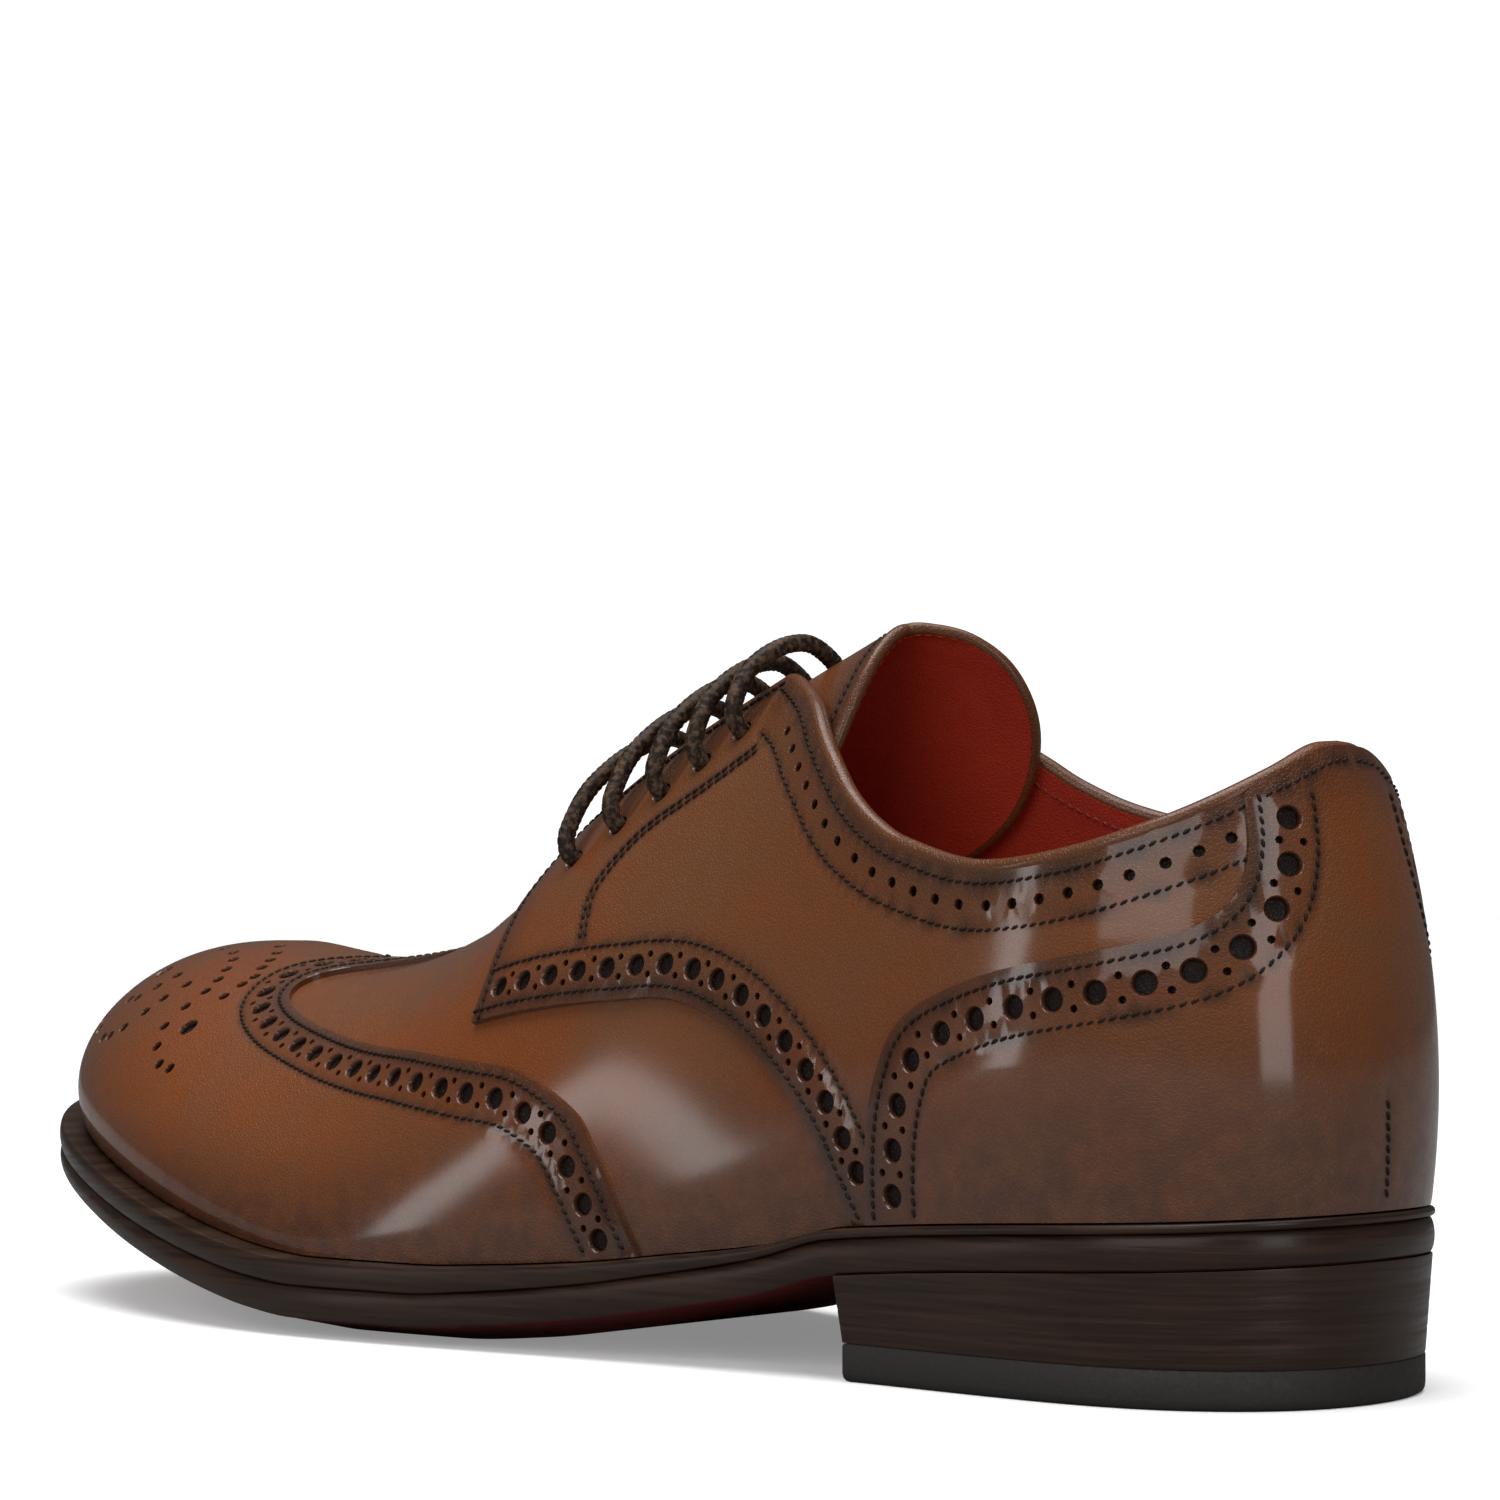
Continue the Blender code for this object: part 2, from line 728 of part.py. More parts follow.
def lace_route(along, up):
    """Points of one bar, out of the outer eyelet and over to the inner one."""
    seat = OVERLAY_THICK + 2 * SEAM_GAP + LACE_DIAMETER / 2
    side = [(0.0, -UPPER_WALL / 2)]
    side += [(share, seat * lift) for share, lift in LACE_ROWS]
    points = [offset_skin(along, up + (1 - up) * share, offset) for share, offset in side]
    for share, offset in reversed(side[:-1]):
        points.append(offset_skin(2 - along, up + (1 - up) * share, offset))
    return smooth_line(points, 2)


def build_laces(material):
    """One bar of round lace across the throat for each pair of eyelets."""
    for number, (along, up) in enumerate(EYELETS, 1):
        name = f"lace_bar_{number}"
        curve = bpy.data.curves.new(name, "CURVE")
        curve.dimensions = "3D"
        curve.bevel_depth = LACE_DIAMETER / 2
        curve.bevel_resolution = 2
        curve.use_fill_caps = True
        route = lace_route(along, up)
        spline = curve.splines.new("POLY")
        spline.points.add(len(route) - 1)
        for point, place in zip(spline.points, route):
            point.co = (place[0] - HEEL_CENTRE, place[1], place[2], 1)
        curve.materials.append(material)
        bar = bpy.data.objects.new(name, curve)
        bpy.context.scene.collection.objects.link(bar)


def main():
    for old in list(bpy.data.objects):
        bpy.data.objects.remove(old, do_unlink=True)
    brown = new_material("brown_leather", (0.21, 0.085, 0.036), 0.35)
    edge = new_material("edge_leather", (0.07, 0.032, 0.018), 0.45)
    stack = new_material("stacked_leather", (0.06, 0.028, 0.016), 0.5)
    rubber = new_material("heel_rubber", (0.02, 0.018, 0.017), 0.7)
    lining = new_material("red_lining", (0.25, 0.02, 0.02), 0.6)
    cord = new_material("waxed_cord", (0.06, 0.035, 0.02), 0.6)
    build_outsole(edge)
    build_welt(edge)
    build_heel(stack, rubber)
    build_insole(lining)
    cutter = eyelet_cutter()
    cut_eyelets(build_upper(brown), cutter)
    cut_eyelets(build_quarters(brown), cutter)
    build_wing_cap(brown)
    build_heel_counter(brown)
    build_tongue(brown)
    build_laces(cord)


main()
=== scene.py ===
"""Looks of the brogue derby shoe: leather panels, holes, stitches, laces, sole and studio.

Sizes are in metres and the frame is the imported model's: floor at z = 0, toe along +X.
"""
import math

import bmesh
import bpy
import numpy as np
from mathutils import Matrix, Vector, geometry, kdtree


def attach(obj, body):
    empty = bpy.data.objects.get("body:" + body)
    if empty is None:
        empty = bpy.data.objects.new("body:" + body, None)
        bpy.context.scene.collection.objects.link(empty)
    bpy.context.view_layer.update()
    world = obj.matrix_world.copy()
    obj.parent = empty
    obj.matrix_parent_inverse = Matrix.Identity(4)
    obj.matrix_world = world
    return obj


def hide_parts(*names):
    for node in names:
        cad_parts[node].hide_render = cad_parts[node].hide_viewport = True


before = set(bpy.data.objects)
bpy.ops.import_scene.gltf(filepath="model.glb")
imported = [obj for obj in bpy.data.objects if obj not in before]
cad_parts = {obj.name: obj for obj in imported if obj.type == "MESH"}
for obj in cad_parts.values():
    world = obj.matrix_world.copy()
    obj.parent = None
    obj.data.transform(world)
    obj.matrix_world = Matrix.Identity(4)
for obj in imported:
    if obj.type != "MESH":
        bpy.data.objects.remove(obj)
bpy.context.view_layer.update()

# Sizes of the shoe, as in the model's own source. The collar's back and the tongue's inner
# edge are the scene's own.
SHOE_LENGTH = 0.305
BALL_WIDTH = 0.1045
INSTEP_HEIGHT = 0.117
HEEL_LENGTH = 0.080
HEEL_CENTRE = 0.040
HEEL_HEIGHT = 0.0165
HEEL_RISE = 0.0050
TOE_SPRING = 0.0246
SOLE_CROWN = 0.0032
TOE_THIN = 0.42
THIN_START = 0.64
OUTSOLE_THICK = 0.0055
WELT_THICK = 0.0045
WELT_MARGIN = 0.0065
WELT_BED = 0.0080
TOP_LIFT_THICK = 0.0060
TREAD_INSET = 0.0160
HEEL_TAPER = 0.0015
SEAM_GAP = 0.0003
UPPER_WALL = 0.0018
PANEL_TOP = 0.0014
LACE_DIAMETER = 0.0030
PANEL_LOW = 0.00002
COUNTER_TOP = 0.0026
BIG_HOLE = 0.00180
SMALL_HOLE = 0.00058
PAIR_SPREAD = 0.0017
HOLE_RIM = 1.12
SEAT_DEPTH = 0.00024
STITCH_SINK = 0.00012
STITCH_SIZE = (0.00074, 0.00032, 0.00028)
STITCH_PITCH = 0.0017
STITCH_TILT = 0.30
EDGE_DROP = 0.00040
SHADE_WIDE = 0.0072
EYELET_PULL = 0.00035
PANEL_MESH = 0.0013
CHART_WIDE = 0.330
CHART_HIGH = 0.090

LAST_ROWS = (
    (0.000, 0.000, 0.000, 0.000, 0.165, 0.000, 1.240, 2.05, 0.34, 0.50, 0.50),
    (0.050, 0.014, 0.153, 0.153, 0.168, 0.000, 1.232, 2.08, 0.34, 0.50, 0.50),
    (0.100, 0.056, 0.262, 0.252, 0.178, 0.000, 1.214, 2.22, 0.32, 0.50, 0.50),
    (0.175, 0.141, 0.312, 0.296, 0.212, 0.000, 1.166, 2.50, 0.24, 0.52, 0.50),
    (0.265, 0.243, 0.312, 0.277, 0.266, 0.000, 1.096, 2.30, 0.20, 0.58, 0.52),
    (0.355, 0.345, 0.326, 0.270, 0.338, 0.000, 1.022, 1.76, 0.18, 0.68, 0.58),
    (0.445, 0.447, 0.360, 0.308, 0.423, -0.003, 0.932, 1.64, 0.20, 0.80, 0.70),
    (0.535, 0.548, 0.405, 0.384, 0.508, -0.008, 0.815, 1.50, 0.24, 0.92, 0.84),
    (0.625, 0.650, 0.434, 0.440, 0.596, -0.018, 0.654, 1.37, 0.30, 1.00, 0.96),
    (0.715, 0.752, 0.417, 0.458, 0.684, -0.032, 0.553, 1.61, 0.36, 1.00, 1.00),
    (0.810, 0.854, 0.342, 0.415, 0.769, -0.050, 0.537, 2.05, 0.38, 1.00, 1.00),
    (0.895, 0.942, 0.214, 0.312, 0.830, -0.066, 0.556, 2.45, 0.38, 1.02, 1.00),
    (0.955, 0.984, 0.070, 0.206, 0.860, -0.074, 0.558, 2.60, 0.38, 1.04, 1.02),
    (1.000, 1.000, -0.072, 0.072, 0.868, -0.076, 0.558, 2.65, 0.38, 1.05, 1.05),
)
SOLE_ROWS = (
    (0.315, 0.730, 0.000), (0.377, 0.455, 0.000), (0.436, 0.218, 0.000),
    (0.492, 0.070, 0.000), (0.548, 0.000, 0.000), (0.622, 0.000, 0.000),
    (0.662, 0.000, 0.040), (0.702, 0.000, 0.118), (0.787, 0.000, 0.338), (0.859, 0.000, 0.550),
    (0.918, 0.000, 0.735), (0.957, 0.000, 0.860), (1.003, 0.000, 1.000),
)
WELT_ROWS = ((0.00, 0.34), (0.28, 0.36), (0.40, 0.70), (0.55, 1.00), (1.00, 1.00))

# Panel edges in the last's chart: along the last, share up the rib
COLLAR_OUTER = (
    (0.392, 0.860), (0.375, 0.800), (0.350, 0.700), (0.328, 0.592), (0.307, 0.503),
    (0.290, 0.442), (0.270, 0.392), (0.245, 0.352), (0.200, 0.312), (0.150, 0.308),
    (0.100, 0.330), (0.050, 0.370), (0.020, 0.394), (0.000, 0.398),
)
COLLAR_INNER = (
    (0.392, 0.860), (0.375, 0.812), (0.350, 0.730), (0.328, 0.640), (0.307, 0.558),
    (0.287, 0.490), (0.268, 0.437), (0.240, 0.388), (0.200, 0.350), (0.150, 0.335),
    (0.100, 0.344), (0.050, 0.372), (0.020, 0.394), (0.000, 0.398),
)
FACING = (
    (0.590, 1.000), (0.586, 0.930), (0.568, 0.868), (0.530, 0.830), (0.490, 0.822),
    (0.440, 0.840), (0.392, 0.860),
)
WING = (
    (0.405, 0.000), (0.424, 0.080), (0.437, 0.130), (0.453, 0.180), (0.492, 0.248),
    (0.530, 0.292), (0.565, 0.342), (0.625, 0.448), (0.685, 0.540), (0.735, 0.610),
    (0.765, 0.670), (0.779, 0.740), (0.779, 0.810), (0.768, 0.870), (0.745, 0.935),
    (0.706, 1.000),
)
QUARTER_SIDE = (
    (0.273, 0.000), (0.285, 0.045), (0.300, 0.105), (0.324, 0.170), (0.358, 0.240),
    (0.400, 0.296), (0.445, 0.320), (0.495, 0.345), (0.541, 0.372),
)
QUARTER_FRONT = (
    (0.541, 0.372), (0.545, 0.450), (0.551, 0.530), (0.558, 0.620), (0.563, 0.700),
    (0.560, 0.780), (0.545, 0.838),
)
COUNTER = (
    (0.262, 0.000), (0.261, 0.070), (0.254, 0.140), (0.236, 0.190), (0.190, 0.214),
    (0.130, 0.224), (0.092, 0.237), (0.073, 0.262), (0.065, 0.302), (0.064, 0.353),
)
TONGUE = (
    (0.645, 1.000), (0.641, 0.860), (0.620, 0.720), (0.565, 0.620), (0.490, 0.580),
    (0.420, 0.570), (0.380, 0.545), (0.352, 0.530), (0.336, 0.570), (0.331, 0.680),
    (0.330, 0.840), (0.330, 1.000),
)
TONGUE_INNER = (
    (0.645, 1.000), (0.641, 0.860), (0.620, 0.720), (0.565, 0.620), (0.490, 0.560),
    (0.430, 0.500), (0.380, 0.455), (0.335, 0.440), (0.302, 0.465), (0.285, 0.540),
    (0.287, 0.650), (0.302, 0.780), (0.320, 0.900), (0.330, 1.000),
)
EYELETS = ((0.515, 0.660), (0.483, 0.668), (0.455, 0.690), (0.430, 0.715), (0.406, 0.745))


def unit(vectors):
    return vectors / np.linalg.norm(vectors, axis=-1, keepdims=True)


def run_along(points):
    """Distance from the first point to each of the others, along the line."""
    return np.append(0, np.cumsum(np.linalg.norm(np.diff(points, axis=0), axis=1)))


def linked(name, mesh):
    piece = bpy.data.objects.new(name, mesh)
    bpy.context.scene.collection.objects.link(piece)
    return piece


class Spline:
    """Smooth curve through rows of values at rising knots that repeats with a period."""

    def __init__(self, knots, values, period):
        self.period = period
        self.knots = np.append(knots, knots[0] + period)
        self.values = np.vstack([values, values[:1]])
        count = len(self.knots)
        gap = np.diff(self.knots)
        slope = np.diff(self.values, axis=0) / gap[:, None]
        matrix = np.eye(count)
        right = np.zeros_like(self.values)
        for i in range(1, count - 1):
            matrix[i, i - 1:i + 2] = gap[i - 1], 2 * (gap[i - 1] + gap[i]), gap[i]
            right[i] = 6 * (slope[i] - slope[i - 1])
        matrix[0, :2] = 2 * gap[0], gap[0]
        matrix[0, -2:] = gap[-1], 2 * gap[-1]
        right[0] = 6 * (slope[0] - slope[-1])
        matrix[-1, 0] = -1
        self.bends = np.linalg.solve(matrix, right)

    def __call__(self, place):
        place = self.knots[0] + (place - self.knots[0]) % self.period
        i = np.clip(np.searchsorted(self.knots, place) - 1, 0, len(self.knots) - 2)
        gap = self.knots[i + 1] - self.knots[i]
        after = ((place - self.knots[i]) / gap)[:, None]
        before = 1 - after
        gap = gap[:, None]
        curve = (before ** 3 - before) * self.bends[i] + (after ** 3 - after) * self.bends[i + 1]
        return before * self.values[i] + after * self.values[i + 1] + curve * gap ** 2 / 6


def last_spline():
    knots = []
    rows = []
    for along, length, outer, _, *top, fullness, bulge, margin, _ in LAST_ROWS:
        knots.append(along)
        rows.append((length, outer, *top, fullness, bulge, margin))
    for along, length, _, inner, *top, fullness, bulge, _, margin in LAST_ROWS[-2:0:-1]:
        knots.append(2 - along)
        rows.append((length, -inner, *top, fullness, bulge, margin))
    return Spline(np.array(knots), np.array(rows), 2.0)


def monotone(table, place):
    """Values read from a table by cubics that never overshoot its rows."""
    x = table[:, 0]
    y = table[:, 1]
    slope = np.diff(y) / np.diff(x)
    turn = np.zeros_like(y)
    product = slope[1:] * slope[:-1]
    turn[1:-1] = np.where(product > 0, 2 * product / (slope[1:] + slope[:-1] + 1e-12), 0)
    turn[0] = slope[0]
    turn[-1] = slope[-1]
    i = np.clip(np.searchsorted(x, place) - 1, 0, len(x) - 2)
    gap = x[i + 1] - x[i]
    s = (place - x[i]) / gap
    start = (1 + 2 * s) * (1 - s) ** 2 * y[i] + s * (1 - s) ** 2 * gap * turn[i]
    return start + s * s * (3 - 2 * s) * y[i + 1] + s * s * (s - 1) * gap * turn[i + 1]


LAST = last_spline()
HEEL_MARGIN = WELT_MARGIN * LAST_ROWS[0][-1]
LAST_LENGTH = SHOE_LENGTH - HEEL_MARGIN - WELT_MARGIN * LAST_ROWS[-1][-1]
SOLE = np.array([(0.0, HEEL_HEIGHT + HEEL_RISE), (HEEL_LENGTH, HEEL_HEIGHT)]
                + [(l * SHOE_LENGTH, h * HEEL_HEIGHT + t * TOE_SPRING) for l, h, t in SOLE_ROWS])
WELT = np.array(WELT_ROWS)


def tread_height(x):
    return monotone(SOLE, x)


def sole_height(x):
    ramp = np.clip((x - HEEL_LENGTH) / (SHOE_LENGTH / 2 - HEEL_LENGTH), 0, 1)
    return tread_height(x) + SOLE_CROWN * ramp * ramp * (3 - 2 * ramp)


def toe_thinning(x):
    ahead = (x / SHOE_LENGTH - THIN_START) / (1 - THIN_START)
    return OUTSOLE_THICK * TOE_THIN * np.maximum(ahead, 0)


def welt_thickness(r):
    return WELT_THICK * monotone(WELT, np.minimum(r % 2, 2 - r % 2))


def rib(r):
    row = LAST(r)
    foot = np.stack([HEEL_MARGIN + row[:, 0] * LAST_LENGTH, row[:, 1] * BALL_WIDTH], 1)
    top = np.stack([HEEL_MARGIN + row[:, 2] * LAST_LENGTH, row[:, 3] * BALL_WIDTH], 1)
    bulge, margin = row[:, 6] * WELT_MARGIN, row[:, 7] * WELT_MARGIN
    return foot, top, row[:, 4] * INSTEP_HEIGHT, row[:, 5], bulge, margin


def outward(r):
    step = 0.002
    ahead = rib(r + step)[0] - rib(r - step)[0]
    out = np.stack([-ahead[:, 1], ahead[:, 0]], 1)
    return unit(out)


def feather_height(x, r):
    return sole_height(x) + OUTSOLE_THICK + welt_thickness(r) + SEAM_GAP


def skin(r, up):
    """Points of the last's surface at places round it and shares up the rib."""
    foot, top, height, fullness, bulge, _ = rib(r)
    base = feather_height(foot[:, 0], r)
    angle = up * math.pi / 2
    across = np.abs(np.cos(angle))
    rise = np.sin(angle)
    size = (across ** fullness + rise ** fullness) ** (1 / fullness)
    across = (across / size)[:, None]
    rise = (rise / size)
    plan = foot * across + top * (1 - across)
    swell = rise * (1 - rise) ** 2 * 27 / 4
    plan = plan + outward(r) * (bulge * swell)[:, None]
    return np.column_stack([plan, base + (height - base) * rise])


def side_normal(r, up):
    step = 0.003
    around = skin(r + step, up) - skin(r - step, up)
    rising = skin(r, up + step) - skin(r, np.maximum(up - step, 0))
    return unit(np.cross(rising, around))


def skin_normal(r, up):
    near = 0.97
    low = np.minimum(up, near)
    share = (0.5 * np.maximum(up - near, 0) / (1 - near))[:, None]
    return unit(side_normal(r, low) * (1 - share) + side_normal(2 - r, low) * share)


def shift(points):
    return points - np.array((HEEL_CENTRE, 0, 0))


def lift(r, up, offset):
    """Points of the surface moved outward, never into the welt, in the model's frame."""
    r = np.asarray(r, float)
    up = np.asarray(up, float)
    points = skin(r, up) + skin_normal(r, up) * np.reshape(offset, (-1, 1))
    points[:, 2] = np.maximum(points[:, 2], feather_height(points[:, 0], r))
    return shift(points)


class Half:
    """One side of the last: chart places become points of the shoe's outer or inner side."""

    def __init__(self, inner):
        self.inner = inner

    def round(self, chart):
        return 2 - chart[:, 0] if self.inner else chart[:, 0]

    def at(self, chart, offset=0.0):
        chart = np.asarray(chart, float)
        offset = np.broadcast_to(offset, len(chart))
        return lift(self.round(chart), np.clip(chart[:, 1], 0, 1), offset)

    def normal(self, chart):
        return skin_normal(self.round(chart), np.clip(chart[:, 1], 0, 1))

    def shares(self, chart, moves):
        """Chart steps that move places by given vectors along the surface."""
        step = 1e-3
        a = (self.at(chart + (step, 0)) - self.at(chart - (step, 0))) / (2 * step)
        low = np.maximum(chart[:, 1] - step, 0)
        high = np.minimum(chart[:, 1] + step, 1)
        t = self.at(np.column_stack([chart[:, 0], high])) - self.at(np.column_stack([chart[:, 0], low]))
        t = t / (high - low)[:, None]
        aa = (a * a).sum(1)
        tt = (t * t).sum(1)
        at = (a * t).sum(1)
        ma = (a * moves).sum(1)
        mt = (t * moves).sum(1)
        det = aa * tt - at * at
        return np.column_stack([(ma * tt - mt * at) / det, (mt * aa - ma * at) / det])

    def even(self, line, gap):
        """The line again, with places at even distances along the shoe."""
        line = np.asarray(line, float)
        points = self.at(line)
        run = run_along(points)
        count = max(int(round(run[-1] / gap)), 2)
        spots = np.linspace(0, run[-1], count + 1)
        return np.column_stack([np.interp(spots, run, line[:, k]) for k in (0, 1)])

    def beside(self, line, distance, gap=0.0010):
        """A line at a distance to the left of another, seen from outside the outer half."""
        line = self.even(line, gap)
        points = self.at(line)
        ahead = unit(np.gradient(points, axis=0))
        side = np.cross(self.normal(line), ahead) * (-1 if self.inner else 1)
        moved = line + self.shares(line, side * distance)
        moved[:, 1] = np.clip(moved[:, 1], 0, 1)
        return moved


OUTER = Half(False)
INNER = Half(True)


def smooth_line(points, steps=10):
    """Curve through chart points by Catmull-Rom spans."""
    points = np.array(points, float)
    ends = np.vstack([2 * points[0] - points[1], points, 2 * points[-1] - points[-2]])
    line = []
    for a, b, c, d in zip(ends, ends[1:], ends[2:], ends[3:]):
        for k in range(steps):
            s = k / steps
            line.append(0.5 * (2 * b + (c - a) * s + (2 * a - 5 * b + 4 * c - d) * s * s
                               + (3 * b - a - 3 * c + d) * s ** 3))
    line.append(points[-1])
    return np.array(line)


def straight(start, end, count):
    return np.linspace(start, end, count + 1)


def joined(*lines):
    """Closed outline from lines that follow each other, without doubled places."""
    points = np.vstack(lines)
    keep = [0]
    for i in range(1, len(points)):
        if np.abs(points[i] - points[keep[-1]]).max() > 2e-4:
            keep.append(i)
    if np.abs(points[keep[-1]] - points[0]).max() < 2e-4:
        keep.pop()
    return points[keep]


def ring_round(half, centre, radius, sides):
    """Chart places of a true circle on the shoe round one place."""
    centre = np.array([centre])
    normal = half.normal(centre)[0]
    across = unit(np.cross(normal, (0.0, 0.0, 1.0)))
    rising = np.cross(normal, across)
    turn = np.arange(sides) * 2 * math.pi / sides
    moves = radius * (np.outer(np.cos(turn), across) + np.outer(np.sin(turn), rising))
    return centre + half.shares(np.repeat(centre, sides, 0), moves)


def near_tree(points):
    tree = kdtree.KDTree(len(points))
    for i, point in enumerate(points):
        tree.insert(point, i)
    tree.balance()
    return tree


def distances(tree, points):
    return np.array([tree.find(p)[2] for p in points])


def cut_sheet(half, outline, holes, spacing):
    """Triangles over an outline in the chart, with round holes left out of them."""
    scale = np.array((CHART_WIDE, CHART_HIGH))
    loops = [outline] + [ring_round(half, c, r, 16 if r > 0.001 else 8) for c, r in holes]
    fixed = np.vstack(loops) * scale
    low = outline.min(0) * scale
    high = outline.max(0) * scale
    rows = np.arange(low[1] + spacing / 2, high[1], spacing * 0.866)
    grid = []
    for k, y in enumerate(rows):
        x = np.arange(low[0] + spacing / 2 * (k % 2), high[0], spacing)
        grid.append(np.column_stack([x, np.full(len(x), y)]))
    grid = np.vstack(grid)
    tree = near_tree(np.column_stack([fixed, np.zeros(len(fixed))]))
    far = distances(tree, np.column_stack([grid, np.zeros(len(grid))])) > spacing * 0.55
    for c, r in holes:
        far &= np.linalg.norm(grid - c * scale, axis=1) > r
    places = np.vstack([fixed, grid[far]])
    faces = []
    start = 0
    for loop in loops:
        order = list(range(start, start + len(loop)))
        ahead = np.roll(loop, -1, 0)
        turns = (loop[:, 0] * ahead[:, 1] - ahead[:, 0] * loop[:, 1]).sum()
        faces.append(order if turns > 0 else order[::-1])
        start += len(loop)
    units = places * 1000
    result = geometry.delaunay_2d_cdt([Vector(p) for p in units], [], faces, 1, 1e-5, True)
    verts = np.array([tuple(v) for v in result[0]]) / 1000 / scale
    tris = [f for f, owners in zip(result[2], result[5]) if owners == [0]]
    used, order = np.unique(tris, return_inverse=True)
    return verts[used], order.reshape(-1, 3)


def line_tree(sides, which):
    """Places along the edges, stitch rows or folds of both sides, for measuring distances."""
    points = [half.at(half.even(line, 0.0008)) for half, *lists in sides for line in lists[which]]
    return near_tree(np.vstack(points)) if points else None


def panel_half(sheet, layers, half, outline, holes, trees, folds, top, spacing):
    """Add one side of a leather panel to a mesh, with stitch seats and punched pits."""
    places, tris = cut_sheet(half, outline, [(c, r * HOLE_RIM) for c, r in holes], spacing)
    points = half.at(places)
    offset = np.full(len(places), top)
    rim = np.zeros(len(places))
    seat = np.zeros(len(places))
    if trees[1]:
        away = distances(trees[1], points)
        rim = np.exp(-(away / SHADE_WIDE) ** 2)
        offset -= EDGE_DROP * np.clip(1 - away / 0.0008, 0, 1) ** 2
    if trees[0]:
        away = distances(trees[0], points)
        # seat: nearness to the stitch rows, which sets the painted shade in the stitch grooves
        seat = np.exp(-(away / 0.0007) ** 2)
        offset -= SEAT_DEPTH * np.exp(-(away / 0.0010) ** 2)
    for tree, depth, width in folds:
        offset += depth * np.exp(-(distances(tree, points) / width) ** 2)
    placed = half.at(places, offset)
    verts = []
    for i, point in enumerate(placed):
        vert = sheet.verts.new(point)
        vert[layers["round"]] = half.round(places[i:i + 1])[0]
        vert[layers["up"]] = places[i, 1]
        vert[layers["rim"]] = rim[i]
        vert[layers["seat"]] = seat[i]
        vert[layers["toe"]] = max((places[i, 0] - 0.72) / 0.28, 0.0)
        verts.append(vert)
    for tri in tris:
        loop = tri if not half.inner else tri[::-1]
        sheet.faces.new([verts[i] for i in loop[::-1]])
    for centre, radius in holes:
        sides = 16 if radius * HOLE_RIM > 0.001 else 8
        outer = ring_round(half, centre, radius * HOLE_RIM, sides)
        nearest = [int(np.abs(places - place).sum(1).argmin()) for place in outer]
        if len(set(nearest)) < sides:
            continue
        order = [verts[i] for i in nearest]
        for share, depth in ((0.98, 0.00030), (0.90, 0.00115)):
            ring = half.at(ring_round(half, centre, radius * share, sides), top - depth)
            fresh = [sheet.verts.new(p) for p in ring]
            # pit: share down the hole, which sets the painted shade inside it
            for vert in fresh:
                vert[layers["pit"]] = 0.5 if share > 0.95 else 1.0
            for i in range(sides):
                j = (i + 1) % sides
                sheet.faces.new((order[i], order[j], fresh[j], fresh[i]))
            order = fresh
        sheet.faces.new(order)


def build_panel(name, sides, top, bottom, spacing=0.0014, flip=False, folds=()):
    """A leather panel from its sides: half, outline, holes, stitch rows and free edges."""
    sheet = bmesh.new()
    layers = {n: sheet.verts.layers.float.new(n) for n in ("round", "up", "rim", "seat", "pit", "toe")}
    trees = line_tree(sides, 2), line_tree(sides, 3)
    soft = []
    for line, depth, width in folds:
        places = np.vstack([half.at(half.even(smooth_line(line), 0.0015)) for half, *_ in sides])
        soft.append((near_tree(places), depth, width))
    for half, outline, holes, _, _ in sides:
        panel_half(sheet, layers, half, outline, holes, trees, soft, top, spacing)
    return finish_panel(name, sheet, layers, bottom, flip)


def finish_panel(name, sheet, layers, bottom, flip=False):
    """Weld the two sides, turn the open edges down and make the object."""
    bmesh.ops.remove_doubles(sheet, verts=[v for v in sheet.verts if v.is_boundary], dist=4e-5)
    edges = [e for e in sheet.edges if e.is_boundary]
    rim = list({v for e in edges for v in e.verts})
    low = lift(np.array([v[layers["round"]] for v in rim]),
               np.array([v[layers["up"]] for v in rim]), bottom)
    below = {}
    for vert, place in zip(rim, low):
        fresh = sheet.verts.new(place)
        fresh[layers["rim"]] = 1.0
        fresh[layers["round"]] = vert[layers["round"]]
        fresh[layers["up"]] = vert[layers["up"]]
        below[vert] = fresh
    for edge in edges:
        loop = edge.link_loops[0]
        a = loop.vert
        b = loop.link_loop_next.vert
        sheet.faces.new((b, a, below[a], below[b]))
    if flip:
        bmesh.ops.reverse_faces(sheet, faces=sheet.faces)
    mesh = bpy.data.meshes.new(name)
    sheet.to_mesh(mesh)
    sheet.free()
    mesh.shade_smooth()
    mesh.set_sharp_from_angle(angle=math.radians(42))
    return linked(name, mesh)


def keep(piece, material, slot, *nodes):
    """Finish a piece: its material, the body it rides on and the nodes it stands for."""
    piece.data.materials.clear()
    piece.data.materials.append(material)
    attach(piece, "root")
    if nodes:
        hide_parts(*nodes)
    return piece


def punched(half, line, pitch, big, small, spread=0.0013, skip=0.0035):
    """Brogue punching along a line: a large hole, then a pair of small ones, and so on."""
    line = half.even(line, 0.0005)
    points = half.at(line)
    run = run_along(points)
    count = max(int(round((run[-1] - 2 * skip) / pitch)), 1)
    holes = []
    for k in range(2 * count + 1):
        spot = skip + (run[-1] - 2 * skip) * k / (2 * count)
        i = int(np.searchsorted(run, spot).clip(1, len(line) - 2))
        centre = line[i]
        if k % 2 == 0:
            if big:
                holes.append((centre, big))
            continue
        if not small:
            continue
        ahead = unit(points[i + 1] - points[i - 1])
        side = np.cross(half.normal(line[i:i + 1])[0], ahead)
        for sign in (-1, 1):
            move = half.shares(line[i:i + 1], np.array([side * spread * sign]))[0]
            holes.append((centre + move, small))
    return holes


